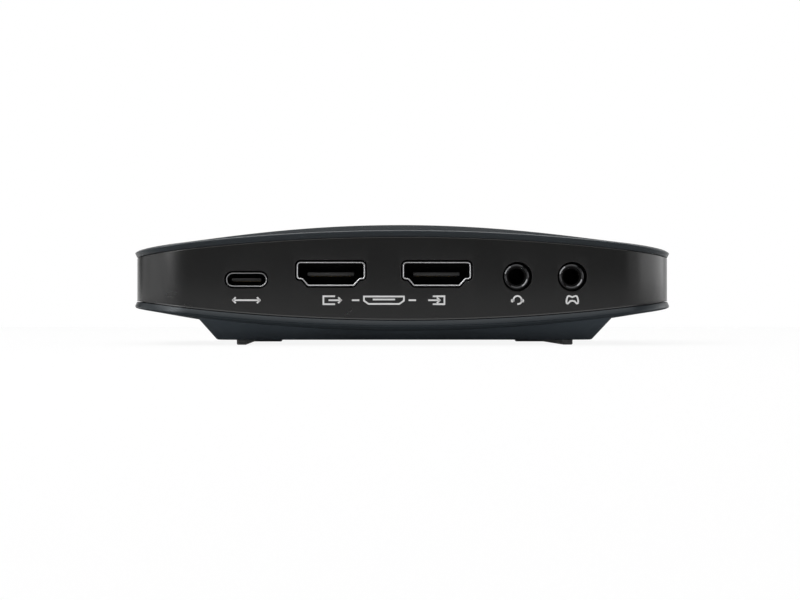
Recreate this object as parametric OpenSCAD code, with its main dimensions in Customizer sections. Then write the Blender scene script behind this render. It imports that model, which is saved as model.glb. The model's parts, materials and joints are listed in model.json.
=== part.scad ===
// Video capture box: a crowned two-part housing round a socket band,
// with the circuit board, its sockets and its parts inside.
// The sockets face -Y, the status light faces +Y, and the feet stand on z = 0.

/* [Body] */
// Overall width over the rims
body_w = 117.8; // [112:0.2:130]
// Overall depth over the rims
body_d = 70; // [66:1:84]
// Corner radius of the rims seen from above
corner_r = 13; // [10:0.5:16]
// Height of the band at its middle
band_h = 17.72; // [17:0.1:19]
// Radius of the crown along the width
crown_r = 414; // [380:1:520]
// Wall of the band
band_wall = 2; // [1.6:0.1:2.4]
// Gap that shows as the seam line
seam_gap = 0.24; // [0.1:0.02:0.4]

/* [Covers] */
// Height of the rim above the seam
rim_h = 1.6; // [1.3:0.1:2]
// How far the rim stands out past the band
rim_overhang = 0.45; // [0.2:0.05:0.7]
// Height of the flared part of the rim
rim_flare_h = 0.9; // [0.7:0.05:1.1]
// Rise of the cover above its rim
dome_h = 2.15; // [1.5:0.05:3]
// Wall of the covers
cover_wall = 1.8; // [1.4:0.1:2.4]
// Depth of the skirt inside the band
skirt_h = 2; // [1.5:0.1:2.4]
// Wall of the skirt
skirt_t = 1.2; // [0.9:0.1:1.6]
// Gap between the skirt and the band
skirt_gap = 0.15; // [0.1:0.05:0.3]

/* [Base] */
// Width of the flat underside
base_w = 82.4; // [78:0.2:84]
// Depth of the flat underside
base_d = 55; // [52:0.5:56]
// How far the flat underside lies below the lower cover's crown
base_drop = 0.69; // [0.2:0.01:1.2]
// Lean of the sides of the base from upright, in degrees
base_lean = 40; // [38:1:46]
// Corner radius of the flat underside
base_corner_r = 4; // [2:0.5:8]
// Thickness of the floor of the base
base_floor = 2; // [1.8:0.1:2.6]
// Number of air slots in the floor
vent_count = 9; // [5:2:11]
// Width of an air slot
vent_w = 1.8; // [1.2:0.1:2.2]
// Length of an air slot
vent_l = 18; // [12:1:20]
// Distance between air slots
vent_pitch = 4; // [3.6:0.1:4.2]

/* [Feet] */
// Height of the feet below the base
foot_h = 1.1; // [0.8:0.05:1.4]
// Depth of the pocket that a foot is glued into
foot_pocket = 0.6; // [0.4:0.05:0.9]
// Width of a foot's strip
foot_strip = 2.2; // [1.8:0.1:2.6]
// Distance from the middle to a foot's outer edge
foot_edge_x = 36.8; // [35.8:0.1:37.6]
// Distance from the base's edge to the ends of a foot
foot_inset = 1.5; // [1:0.1:3]
// Length of the leg that turns inwards at the front
foot_leg = 8.6; // [6:0.2:10]
// Gap round a foot in its pocket
foot_gap = 0.1; // [0.05:0.05:0.15]

/* [Board] */
// Width of the circuit board
board_w = 90; // [86:1:94]
// Thickness of the circuit board
board_t = 1.6; // [1:0.1:2]
// Depth of the board's upper face below the middle of the band
board_drop = 1.95; // [1.8:0.05:2.2]
// Gap between the board and the socket wall
board_gap = 1; // [0.9:0.1:1.4]
// Gap between the board and the front wall
board_front_gap = 4.5; // [4:0.1:6]

/* [Video sockets] */
// Place of the video output across the width
video_out_x = -15.85; // [-17:0.05:-15]
// Place of the video input across the width
video_in_x = 7; // [6:0.05:8]
// Width of a shell
video_w = 14.9; // [14.6:0.1:15.2]
// Height of a shell
video_h = 5.5; // [5.3:0.05:5.7]
// Height of the shell's upright sides
video_side_h = 3.7; // [3.4:0.05:4]
// Step where the sides turn in
video_step = 0.65; // [0.4:0.05:0.8]
// Width of the shell's narrow underside
video_low_w = 10; // [9.6:0.1:10.4]
// Depth of a shell
video_d = 11.5; // [10.5:0.1:12.5]
// Wall of a shell
video_wall = 0.4; // [0.3:0.05:0.5]
// Gap between a shell and the board
video_lift = 0.2; // [0.1:0.05:0.4]
// Width of the tongue
video_tongue_w = 10.2; // [9.8:0.1:10.6]
// Thickness of the tongue
video_tongue_t = 0.8; // [0.6:0.05:1]
// Pitch of the contacts
video_pitch = 1; // [0.9:0.05:1]
// Width of a contact
video_contact_w = 0.45; // [0.3:0.05:0.55]
// Distance from the shell's mouth to the tongue
video_tongue_back = 2.4; // [1:0.1:3]
// Depth of the moulded block that closes the back
video_block_d = 2.5; // [2:0.1:3]

/* [Data socket] */
// Place of the data socket across the width
data_x = -34; // [-35:0.05:-33]
// Width of the shell
data_w = 8.94; // [8.8:0.02:9.1]
// Height of the shell
data_h = 3.16; // [3.1:0.02:3.3]
// Depth of the shell
data_d = 7.5; // [7:0.1:8.5]
// Wall of the shell
data_wall = 0.3; // [0.25:0.05:0.4]
// Gap between the shell and the board
data_lift = 0.12; // [0.1:0.02:0.3]
// Width of the tongue
data_tongue_w = 6.4; // [6.2:0.05:6.6]
// Thickness of the tongue
data_tongue_t = 0.7; // [0.6:0.05:0.8]
// Pitch of the contacts
data_pitch = 0.5; // [0.45:0.01:0.5]
// Width of a contact
data_contact_w = 0.25; // [0.2:0.01:0.3]
// Distance from the shell's mouth to the tongue
data_tongue_back = 0.9; // [0.6:0.05:1.2]
// Depth of the moulded block that closes the back
data_block_d = 1.6; // [1.2:0.1:2]

/* [Jacks] */
// Place of the headset jack across the width
headset_x = 24.2; // [23.4:0.05:24.6]
// Place of the controller jack across the width
controller_x = 36.05; // [35.4:0.05:36.4]
// Diameter of the jack's bore
jack_bore = 3.6; // [3.5:0.02:3.7]
// Height of the bore above the board
jack_rise = 2.35; // [2.3:0.05:2.6]
// Length of the bore
jack_bore_l = 12; // [11:0.1:12.8]
// Outer diameter of the jack's nose
nose_d = 4.5; // [4.3:0.05:4.6]
// Length of the nose
nose_l = 2.4; // [2.3:0.05:2.45]
// How far the nose lies behind the wall's face
nose_recess = 0.5; // [0.4:0.05:0.55]
// Outer diameter of the metal ring on the nose
ring_d = 5.06; // [4.9:0.02:5.2]
// Width of a jack's housing
jack_w = 6.4; // [6:0.1:7]
// Depth of a jack's housing
jack_d = 11; // [10.5:0.1:12]
// Height of a jack's housing
jack_h = 4.9; // [4.8:0.05:5.2]
// Diameter of the opening in the wall
jack_hole = 6.3; // [6:0.05:6.6]
// Chamfer of the opening in the wall
jack_chamfer = 0.3; // [0.1:0.05:0.5]
// Thickness of a contact spring
spring_t = 0.3; // [0.2:0.05:0.35]
// Width of a contact spring
spring_w = 1.6; // [1.2:0.1:1.8]
// Length of a contact spring
spring_l = 8; // [6:0.2:9]
// Length of the tail that a spring stands on the board with
spring_tail = 1.2; // [0.8:0.1:1.6]

/* [Fits] */
// Gap round a shell in the wall
socket_gap = 0.25; // [0.15:0.05:0.35]
// How far the shells lie behind the wall's face
socket_recess = 0.1; // [0:0.05:0.2]
// Gap between a moulded insert and its shell
insert_gap = 0.05; // [0.03:0.01:0.1]
// Thickness of the contacts on a tongue
contact_t = 0.08; // [0.05:0.01:0.12]
// Gap round a leg in its slot in the board
leg_gap = 0.2; // [0.1:0.05:0.3]
// Gap round a screw in a through hole
screw_gap = 0.2; // [0.1:0.05:0.3]
// Gap round a screw in its pilot hole
pilot_gap = 0.02; // [0.01:0.01:0.05]
// Gap round a screw head in its recess
head_gap = 0.3; // [0.2:0.05:0.4]
// Gap round a spring in its groove
spring_gap = 0.08; // [0.05:0.01:0.12]
// Gap round a push pin
pin_gap = 0.15; // [0.1:0.05:0.2]

/* [Screws] */
// Shank diameter
screw_d = 2.4; // [2:0.1:2.6]
// Head diameter
head_d = 4.6; // [4.2:0.1:4.8]
// Head height
head_h = 1.5; // [1.2:0.1:1.8]
// Length of the case screws' threads in the top cover
case_thread = 5; // [4:0.2:7]
// Length of the board screws' threads in the bosses
board_thread = 2.5; // [2:0.1:2.8]
// Floor left under a case screw's head
head_floor = 2.6; // [2.4:0.1:3]
// Diameter of the case screw bosses
case_boss_d = 7.4; // [7:0.1:8]
// Diameter of the board bosses
board_boss_d = 5.4; // [5:0.1:5.8]
// Distance of the case screws from the middle, across
case_screw_x = 29; // [28.5:0.1:29.5]
// Distance of the rear case screws from the board's rear edge
case_rear_in = 17.55; // [16.55:0.1:18.05]
// Distance of the front case screws from the board's front edge
case_front_in = 9.05; // [8.05:0.1:10.05]
// Distance of the board screws from the middle, across
board_screw_x = 41; // [40.5:0.1:41.5]
// Distance of the rear board screws from the board's rear edge
board_rear_in = 13.55; // [12.55:0.1:14.05]
// Distance of the front board screws from the board's front edge
board_front_in = 5.05; // [4.05:0.1:6.05]

/* [Cooling] */
// Side of the video processor
processor_s = 15; // [13:0.5:17]
// Height of the video processor
processor_h = 1.3; // [1:0.1:1.6]
// Place of the processor along the depth
processor_y = 4; // [3:0.1:5]
// Thickness of the thermal pad
pad_t = 0.8; // [0.5:0.1:1.2]
// Width of the heat sink
sink_w = 34; // [30:0.5:36]
// Depth of the heat sink
sink_d = 28; // [26:0.5:29]
// Thickness of the heat sink's plate
sink_plate = 2; // [1.5:0.1:2.5]
// Height of the fins
fin_h = 5; // [3:0.1:6]
// Number of fins
fin_count = 9; // [5:1:10]
// Thickness of a fin
fin_t = 1; // [0.8:0.1:1.3]
// Diameter of the push pins
pin_d = 2.6; // [2.2:0.1:2.8]
// Distance from the heat sink's edges to the push pins
pin_inset = 3; // [2.8:0.1:3.4]
// Width of a push pin's collars over its shank
pin_collar = 0.7; // [0.5:0.1:0.9]
// Height of a push pin's collars
pin_collar_h = 1; // [0.8:0.1:1.4]

/* [Board parts] */
// Side of the video receiver and splitter chips
receiver_s = 9; // [7:0.5:9.5]
// Side of the data bridge chip
bridge_s = 8; // [6:0.5:8]
// Width of a memory chip
memory_w = 9; // [8:0.5:9.5]
// Depth of a memory chip
memory_d = 12; // [10:0.5:13]
// Side of the audio codec chip
codec_s = 6; // [5:0.5:7]
// Width of the flash chip
flash_w = 6; // [5:0.5:7]
// Depth of the flash chip
flash_d = 8; // [5:0.5:8.5]
// Height of the chips
chip_h = 1; // [0.8:0.05:1.2]
// Length of a crystal
crystal_l = 3.2; // [2.5:0.1:3.6]
// Width of a crystal
crystal_w = 2.5; // [2:0.1:2.8]
// Height of a crystal
crystal_h = 0.8; // [0.6:0.1:1]
// Side of a power inductor
inductor_s = 5; // [4:0.2:5.4]
// Height of a power inductor
inductor_h = 3; // [2:0.2:4]
// Diameter of a smoothing capacitor
capacitor_d = 5; // [4:0.2:5.4]
// Height of a smoothing capacitor
capacitor_h = 5.4; // [4:0.2:6]
// Distance of the receiver and splitter chips from the board's rear edge
receiver_in = 16.55; // [16:0.05:17.5]
// Distance of the crystals from the board's rear edge
crystal_in = 15.55; // [15:0.05:17]
// Distance of the data bridge chip from the board's rear edge
bridge_in = 23.55; // [22:0.05:25]
// Distance of the audio codec chip from the board's rear edge
codec_in = 22.05; // [21.5:0.05:23]
// Distance of the front power inductors from the board's front edge
inductor_in = 11.05; // [10.5:0.05:11.5]
// Distance between two power inductors
inductor_pitch = 6; // [5.6:0.1:6.4]
// Distance of the capacitors from the board's front edge
capacitor_in = 4.5; // [3.5:0.1:5]
// Gap between the flash chip and the power inductors
part_gap = 1.5; // [1:0.1:2]

/* [Status light] */
// Width of the window in the front wall
light_w = 8; // [5:0.5:12]
// Height of the window in the front wall
light_h = 1.4; // [1:0.1:2]
// Gap round the light pipe in the wall
light_gap = 0.1; // [0.05:0.05:0.2]
// Width of the lamp
led_w = 3; // [2:0.1:3.6]
// Depth of the lamp
led_d = 1.4; // [1:0.1:1.8]
// Height of the lamp
led_h = 0.8; // [0.5:0.05:0.9]

/* [Hidden] */

$fn = 64;
eps = 0.01;
// How far a cut runs past a wall
cut_over = 1;

// Steps of the lofted outline and of the cover's rings
corner_steps = 8;
width_steps = 12;
depth_steps = 6;
dome_steps = 6;
round_steps = 4;

half_w = body_w / 2;
half_d = body_d / 2;
mid_z = foot_h + base_drop + dome_h + rim_h + band_h / 2;
seam_top = mid_z + band_h / 2;
seam_low = mid_z - band_h / 2;
band_half_w = half_w - rim_overhang;
band_half_d = half_d - rim_overhang;
wall_in = rim_overhang + band_wall;
face_y = -band_half_d;
front_y = band_half_d;
socket_y = face_y + socket_recess;
rim_round = rim_h - rim_flare_h;

board_top = mid_z - board_drop;
board_under = board_top - board_t;
board_rear = face_y + band_wall + board_gap;
board_front = front_y - band_wall - board_front_gap;
video_low = board_top + video_lift;
video_mid = video_low + video_h / 2;
data_mid = board_top + data_lift + data_h / 2;
jack_z = board_top + jack_rise;
nose_y = face_y + nose_recess;
jack_body_y = nose_y + nose_l;

screw_r = screw_d / 2;
hole_r = screw_r + screw_gap;
pilot_r = screw_r + pilot_gap;
head_seat = foot_h + head_floor + head_gap / 2;
head_recess_r = head_d / 2 + head_gap;
case_spots = screw_spots(case_screw_x, case_rear_in, case_front_in);
board_spots = screw_spots(board_screw_x, board_rear_in, board_front_in);

sink_low = board_top + processor_h + pad_t;
sink_top = sink_low + sink_plate;
pin_r = pin_d / 2;
pin_spots = [for (s = [-1, 1]) [s * (sink_w / 2 - pin_inset), processor_y - s * (sink_d / 2 - pin_inset)]];

// Places of the parts on the board
receiver_y = board_rear + receiver_in;
crystal_y = board_rear + crystal_in;
bridge_y = board_rear + bridge_in;
codec_y = board_rear + codec_in;
inductor_y = board_front - inductor_in;
flash_y = inductor_y - inductor_pitch - inductor_s / 2 - part_gap - flash_d / 2;
capacitor_y = board_front - capacitor_in;
bridge_x = -38.5;
memory_x = 23;
flash_x = 37;
codec_x = 37.5;
inductor_x = 36.5;
crystal_places = [-23, 15];
capacitor_places = [-15, -8.5, 12];

// Outline and loft

// Four screw places, by their distances from the middle and from the board's edges
function screw_spots(x, rear_in, front_in) = [
  for (sx = [-1, 1], y = [board_rear + rear_in, board_front - front_in]) [sx * x, y]];

// Signs of the four corners, in order round the outline
function corner_sign(k) = [[1, 1], [-1, 1], [-1, -1], [1, -1]][k % 4];

// One corner arc of the outline, moved in by t
function corner_arc(k, t) = [for (i = [0 : corner_steps])
  let (a = 90 * (k + i / corner_steps), s = corner_sign(k), r = corner_r - t)
  [s[0] * (half_w - corner_r) + r * cos(a), s[1] * (half_d - corner_r) + r * sin(a)]];

// Points between two corners
function side_points(from, to, n) = [for (j = [1 : n - 1]) from + (to - from) * j / n];

// The whole outline, moved in by t
function outline(t) = [for (k = [0 : 3])
  let (arc = corner_arc(k, t), next = corner_arc(k + 1, t)[0], n = k % 2 == 0 ? width_steps : depth_steps)
  each concat(arc, side_points(arc[corner_steps], next, n))];

// Fall of the crown at a distance from the middle
function crown_drop(x) = crown_r - sqrt(crown_r * crown_r - x * x);

// Rise of the dome over the rim at a place
function dome_rise(x, y) = dome_h * (1 - pow(x / half_w, 2)) * (1 - pow(y / half_d, 2));

// A ring of the rim: the outline moved in by t, h above the seam
function rim_ring(t, h) = [for (p = outline(t)) [p[0], p[1], seam_top - crown_drop(p[0]) + h]];

// Height of the cover's outer face over a place
function cover_top(x, y) = seam_top - crown_drop(x) + rim_h + dome_rise(x, y);

// A ring of the dome: the outline moved in by t and drawn together by s, at a depth below the outer face
function dome_ring(t, s, depth) = [for (p = outline(t))
  let (x = p[0] * s, y = p[1] * s) [x, y, cover_top(x, y) - depth]];

// Share of the way out from the middle of a dome ring
function dome_share(i) = sin(90 * i / dome_steps);

// The rim's rounded edge, from the dome to the tip
rim_edge = [for (i = [0 : round_steps])
  let (a = 90 * i / round_steps) rim_ring(rim_round * (1 - sin(a)), rim_flare_h + rim_round * cos(a))];

// The cover's rings, from the dome's middle round the rim to the inside
skirt_in = wall_in + skirt_gap;
cavity_in = skirt_in + skirt_t;
cover_rings = concat(
  [for (i = [1 : dome_steps - 1]) dome_ring(rim_round, dome_share(i), 0)],
  rim_edge,
  [rim_ring(rim_overhang, seam_gap / 2),
   rim_ring(skirt_in, seam_gap / 2),
   rim_ring(skirt_in, -skirt_h),
   rim_ring(cavity_in, -skirt_h)],
  [for (i = [dome_steps : -1 : 1]) dome_ring(cavity_in, dome_share(i), cover_wall)]);

// The moulded cover, lofted through its rings
module cover_loft() {
  n = len(cover_rings[0]);
  m = len(cover_rings);
  tip = [0, 0, cover_top(0, 0)];
  inside = tip - [0, 0, cover_wall];
  points = concat([for (r = cover_rings) each r], [tip, inside]);
  sides = [for (i = [0 : m - 2], j = [0 : n - 1])
    let (a = i * n + j, b = i * n + (j + 1) % n, c = a + n, d = b + n)
    each [[a, b, c], [b, d, c]]];
  cap = [for (j = [0 : n - 1]) [m * n, (j + 1) % n, j]];
  floor_cap = [for (j = [0 : n - 1]) [m * n + 1, (m - 1) * n + j, (m - 1) * n + (j + 1) % n]];
  polyhedron(points, concat(sides, cap, floor_cap), convexity = 6);
}

// Shared shapes

// Rectangle with rounded corners
module rounded_rect(w, d, r) {
  square([w - 2 * r, d], center = true);
  square([w, d - 2 * r], center = true);
  for (sx = [-1, 1], sy = [-1, 1]) translate([sx * (w / 2 - r), sy * (d / 2 - r)]) circle(r);
}

// Slot with round ends
module stadium(w, h) {
  square([w - h, h], center = true);
  for (s = [-1, 1]) translate([s * (w - h) / 2, 0]) circle(d = h);
}

// Drawing in the X-Z plane, pulled from y to y + l
module pulled(y, l) {
  translate([0, y + l, 0]) rotate([90, 0, 0]) linear_extrude(l) children();
}

// Box on its middle in plan, standing on z
module block(x, y, z, w, d, h) {
  translate([x - w / 2, y - d / 2, z]) cube([w, d, h]);
}

// Upright cylinder from z0 to z1
module post(p, r, z0, z1) {
  translate([p[0], p[1], z0]) cylinder(r = r, h = z1 - z0);
}

// Housing

module top_cover() {
  color([0.17, 0.18, 0.19]) difference() {
    union() {
      cover_loft();
      for (p = case_spots) post(p, case_boss_d / 2, board_top, cover_top(p[0], p[1]) - cover_wall / 2);
    }
    for (p = case_spots) post(p, pilot_r, board_top - eps, cover_top(p[0], p[1]) - 2 * cover_wall);
  }
}

// Plan of the band at its outer face, moved in by t
module band_plan(t) {
  rounded_rect(2 * (band_half_w - t), 2 * (band_half_d - t), corner_r - rim_overhang - t);
}

// Crowned space on the inner side of the upper (1) or lower (-1) seam
module seam_cylinder(side) {
  translate([0, half_d, mid_z + side * (band_h / 2 - seam_gap / 2 - crown_r)])
    rotate([90, 0, 0]) cylinder(r = crown_r, h = body_d, $fn = 360);
}

// Outline of a video shell, moved in by t
module video_profile(t) {
  miter = t * tan(22.5);
  hw = video_w / 2 - t;
  turn = video_h / 2 - video_side_h + t;
  low = -video_h / 2 + t;
  right = [[hw, video_h / 2 - t], [hw, turn], [video_w / 2 - video_step - miter, turn],
    [video_low_w / 2 - miter, low]];
  left = [for (i = [len(right) - 1 : -1 : 0]) [-right[i][0], right[i][1]]];
  polygon(concat(right, left));
}

module mid_band() {
  cut = band_wall + 2 * cut_over;
  color([0.14, 0.14, 0.14]) difference() {
    intersection() {
      linear_extrude(2 * mid_z) difference() {
        band_plan(0);
        band_plan(band_wall);
      }
      seam_cylinder(1);
      seam_cylinder(-1);
    }
    for (x = [video_out_x, video_in_x]) {
      translate([x, 0, video_mid]) pulled(face_y - cut_over, cut) video_profile(-socket_gap);
    }
    translate([data_x, 0, data_mid]) pulled(face_y - cut_over, cut)
      stadium(data_w + 2 * socket_gap, data_h + 2 * socket_gap);
    for (x = [headset_x, controller_x]) translate([x, face_y, jack_z]) rotate([-90, 0, 0]) {
      translate([0, 0, -cut_over]) cylinder(d = jack_hole, h = cut);
      translate([0, 0, -eps]) cylinder(d1 = jack_hole + 2 * jack_chamfer, d2 = jack_hole, h = jack_chamfer);
    }
    translate([0, 0, mid_z]) pulled(front_y + cut_over - cut, cut)
      stadium(light_w + 2 * light_gap, light_h + 2 * light_gap);
  }
}

// Base on the underside, moved in by t, from z0 up to z1
module base_block(t, z0, z1) {
  grow0 = (z0 - foot_h) * tan(base_lean);
  grow1 = (z1 - foot_h) * tan(base_lean);
  hull() for (g = [[z0, grow0], [z1 - eps, grow1]]) {
    translate([0, 0, g[0]]) linear_extrude(eps)
      rounded_rect(base_w + 2 * (g[1] - t), base_d + 2 * (g[1] - t), base_corner_r, $fn = 32);
  }
}

// Plan of the right foot, grown by t
module foot_plan(t) {
  end_y = base_d / 2 - foot_inset;
  translate([foot_edge_x - foot_strip - t, -end_y - t]) square([foot_strip + 2 * t, 2 * (end_y + t)]);
  translate([foot_edge_x - foot_leg - t, end_y - foot_strip - t]) square([foot_leg + t, foot_strip + 2 * t]);
}

module bottom_cover() {
  joint_z = seam_low + rim_h;
  lean_wall = cover_wall / cos(base_lean);
  floor_z = foot_h + base_floor;
  color([0.15, 0.16, 0.17]) difference() {
    union() {
      difference() {
        union() {
          translate([0, 0, 2 * mid_z]) mirror([0, 0, 1]) cover_loft();
          intersection() {
            base_block(0, foot_h, joint_z - cover_wall / 2);
            linear_extrude(mid_z) band_plan(band_wall + skirt_gap);
          }
        }
        base_block(lean_wall, floor_z, joint_z + cut_over);
      }
      for (p = case_spots) post(p, case_boss_d / 2, foot_h + base_floor / 2, board_under);
      for (p = board_spots) {
        post(p, board_boss_d / 2, 2 * mid_z - cover_top(p[0], p[1]) + cover_wall / 2, board_under);
      }
    }
    for (p = case_spots) {
      post(p, head_recess_r, foot_h - eps, head_seat);
      post(p, hole_r, foot_h, board_under + eps);
    }
    for (p = board_spots) post(p, pilot_r, board_under - board_thread - screw_gap, board_under + eps);
    for (i = [0 : vent_count - 1]) {
      translate([(i - (vent_count - 1) / 2) * vent_pitch, 0, foot_h - eps])
        linear_extrude(base_floor + 2 * eps) rotate(90) stadium(vent_l, vent_w);
    }
    for (m = [0, 1]) mirror([m, 0, 0]) translate([0, 0, foot_h - eps])
      linear_extrude(foot_pocket + eps) foot_plan(foot_gap);
  }
}

module right_foot() {
  color([0.2, 0.21, 0.21]) linear_extrude(foot_h + foot_pocket) foot_plan(0);
}

module left_foot() {
  mirror([1, 0, 0]) right_foot();
}

// Pan head screw whose head points down and sits at z
module screw(p, z, l) {
  translate([p[0], p[1], z]) {
    translate([0, 0, -head_h]) cylinder(d1 = head_d - head_h / 2, d2 = head_d, h = head_h);
    cylinder(r = screw_r, h = l);
  }
}

module case_screws() {
  color([0.55, 0.55, 0.57]) for (p = case_spots) {
    screw(p, head_seat, board_top + case_thread - head_seat);
  }
}

module board_screws() {
  color([0.75, 0.75, 0.77]) for (p = board_spots) {
    translate([0, 0, 2 * board_top]) mirror([0, 0, 1]) screw(p, board_top, board_t + board_thread);
  }
}

// Circuit board

// Places of a socket's legs along the depth
leg_l = 1.4;
leg_out = 0.6;
leg_down = board_t + leg_out;
video_leg_y = [board_rear + leg_l, socket_y + video_d - leg_l];
data_leg_y = [board_rear + leg_l, socket_y + data_d - leg_l / 2 - leg_gap];

module leg_slots(x, w, wall, places) {
  for (sx = [-1, 1], y = places) {
    block(x + sx * (w - wall) / 2, y, board_under - eps,
      wall + 2 * leg_gap, leg_l + 2 * leg_gap, board_t + 2 * eps);
  }
}

module main_board() {
  color([0.08, 0.25, 0.14]) difference() {
    translate([-board_w / 2, board_rear, board_under]) cube([board_w, board_front - board_rear, board_t]);
    for (p = case_spots) post(p, hole_r, board_under - eps, board_top + eps);
    for (p = board_spots) post(p, hole_r, board_under - eps, board_top + eps);
    for (p = pin_spots) post(p, pin_r + pin_gap, board_under - eps, board_top + eps);
    for (x = [video_out_x, video_in_x]) leg_slots(x, video_w, video_wall, video_leg_y);
    leg_slots(data_x, data_w, data_wall, data_leg_y);
  }
}

// Sockets

module socket_legs(x, w, wall, places, top) {
  for (sx = [-1, 1], y = places) {
    block(x + sx * (w - wall) / 2, y, board_top - leg_down, wall, leg_l, top - board_top + leg_down);
  }
}

module video_shell(x) {
  color([0.72, 0.72, 0.73]) {
    translate([x, 0, video_mid]) pulled(socket_y, video_d) difference() {
      video_profile(0);
      video_profile(video_wall);
    }
    socket_legs(x, video_w, video_wall, video_leg_y, video_low + video_h - video_side_h + video_wall);
  }
}

module video_tongue(x) {
  back = socket_y + video_d;
  color([0.13, 0.13, 0.13]) translate([x, 0, video_mid]) {
    pulled(back - video_block_d, video_block_d) video_profile(video_wall + insert_gap);
    pulled(socket_y + video_tongue_back, video_d - video_tongue_back - video_block_d + eps)
      square([video_tongue_w, video_tongue_t], center = true);
  }
}

// Distance from the tongue's tip to its contacts
contact_inset = 0.4;

// Rows of contacts on both faces of a tongue
module contact_rows(x, z, counts, pitch, w, t, y0, l) {
  for (side = [0, 1], i = [0 : counts[side] - 1]) {
    cx = x + (i - (counts[side] - 1) / 2) * pitch;
    block(cx, y0 + l / 2, side == 0 ? z + t / 2 : z - t / 2 - contact_t, w, l, contact_t);
  }
}

module video_contacts(x) {
  y0 = socket_y + video_tongue_back + contact_inset;
  l = video_d - video_tongue_back - video_block_d - contact_inset;
  color([0.85, 0.68, 0.3])
    contact_rows(x, video_mid, [10, 9], video_pitch, video_contact_w, video_tongue_t, y0, l);
}

module video_out_shell() { video_shell(video_out_x); }
module video_out_tongue() { video_tongue(video_out_x); }
module video_out_contacts() { video_contacts(video_out_x); }
module video_in_shell() { video_shell(video_in_x); }
module video_in_tongue() { video_tongue(video_in_x); }
module video_in_contacts() { video_contacts(video_in_x); }

module data_shell() {
  color([0.72, 0.72, 0.73]) {
    translate([data_x, 0, data_mid]) pulled(socket_y, data_d) difference() {
      stadium(data_w, data_h);
      stadium(data_w - 2 * data_wall, data_h - 2 * data_wall);
    }
    socket_legs(data_x, data_w, data_wall, data_leg_y, data_mid);
  }
}

module data_tongue() {
  inner_w = data_w - 2 * (data_wall + insert_gap);
  inner_h = data_h - 2 * (data_wall + insert_gap);
  color([0.13, 0.13, 0.13]) translate([data_x, 0, data_mid]) {
    pulled(socket_y + data_d - data_block_d, data_block_d) stadium(inner_w, inner_h);
    pulled(socket_y + data_tongue_back, data_d - data_tongue_back - data_block_d + eps)
      square([data_tongue_w, data_tongue_t], center = true);
  }
}

module data_contacts() {
  y0 = socket_y + data_tongue_back + contact_inset;
  l = data_d - data_tongue_back - data_block_d - contact_inset;
  color([0.85, 0.68, 0.3])
    contact_rows(data_x, data_mid, [12, 12], data_pitch, data_contact_w, data_tongue_t, y0, l);
}

// Jacks

// Leaf spring in the housing's side, with a tail down to the board, grown by t
module jack_spring(side, t) {
  groove = spring_t + spring_gap;
  y0 = jack_body_y + (jack_d - spring_l) / 2;
  x = side * (jack_w / 2 - groove + spring_t / 2);
  block(x, y0 + spring_l / 2, jack_z - spring_w / 2 - t,
    spring_t + 2 * t, spring_l + 2 * t, spring_w + 2 * t);
  block(x, y0 + spring_l - spring_tail / 2, board_top, spring_t + 2 * t, spring_tail + 2 * t, jack_rise);
}

module jack_housing(x) {
  color([0.08, 0.08, 0.08]) translate([x, 0, 0]) difference() {
    union() {
      block(0, jack_body_y + jack_d / 2, board_top, jack_w, jack_d, jack_h);
      translate([0, nose_y, jack_z]) rotate([-90, 0, 0]) cylinder(d = nose_d, h = nose_l + eps);
    }
    translate([0, nose_y - eps, jack_z]) rotate([-90, 0, 0]) cylinder(d = jack_bore, h = jack_bore_l + eps);
    for (side = [-1, 1], drop = [0, eps]) translate([0, 0, -drop]) jack_spring(side, spring_gap);
  }
}

module jack_ring(x) {
  color([0.5, 0.5, 0.52]) translate([x, nose_y, jack_z]) rotate([-90, 0, 0]) difference() {
    cylinder(d = ring_d, h = nose_l - insert_gap);
    translate([0, 0, -eps]) cylinder(d = nose_d + 2 * insert_gap, h = nose_l);
  }
}

module jack_springs(x) {
  color([0.75, 0.66, 0.42]) translate([x, 0, 0]) for (side = [-1, 1]) jack_spring(side, 0);
}

module headset_jack_housing() { jack_housing(headset_x); }
module headset_jack_ring() { jack_ring(headset_x); }
module headset_jack_springs() { jack_springs(headset_x); }
module controller_jack_housing() { jack_housing(controller_x); }
module controller_jack_ring() { jack_ring(controller_x); }
module controller_jack_springs() { jack_springs(controller_x); }

// Parts on the board

module chip(x, y, w, d, h) {
  color([0.1, 0.1, 0.11]) block(x, y, board_top, w, d, h);
}

module video_processor() { chip(0, processor_y, processor_s, processor_s, processor_h); }

module thermal_pad() {
  color([0.6, 0.65, 0.75]) block(0, processor_y, board_top + processor_h, processor_s, processor_s, pad_t);
}

module heat_sink() {
  fin_span = sink_w - 4 * pin_inset;
  fin_pitch = (fin_span - fin_t) / (fin_count - 1);
  color([0.3, 0.3, 0.31]) difference() {
    union() {
      block(0, processor_y, sink_low, sink_w, sink_d, sink_plate);
      for (i = [0 : fin_count - 1]) {
        block((i - (fin_count - 1) / 2) * fin_pitch, processor_y, sink_top - eps, fin_t, sink_d, fin_h);
      }
    }
    for (p = pin_spots) post(p, pin_r + pin_gap, sink_low - eps, sink_top + eps);
  }
}

module heat_sink_pins() {
  color([0.85, 0.85, 0.82]) for (p = pin_spots) {
    post(p, pin_r, board_under - pin_collar_h, sink_top + pin_collar_h);
    post(p, pin_r + pin_collar, sink_top, sink_top + pin_collar_h);
    post(p, pin_r + pin_collar, board_under - pin_collar_h, board_under);
  }
}

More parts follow.
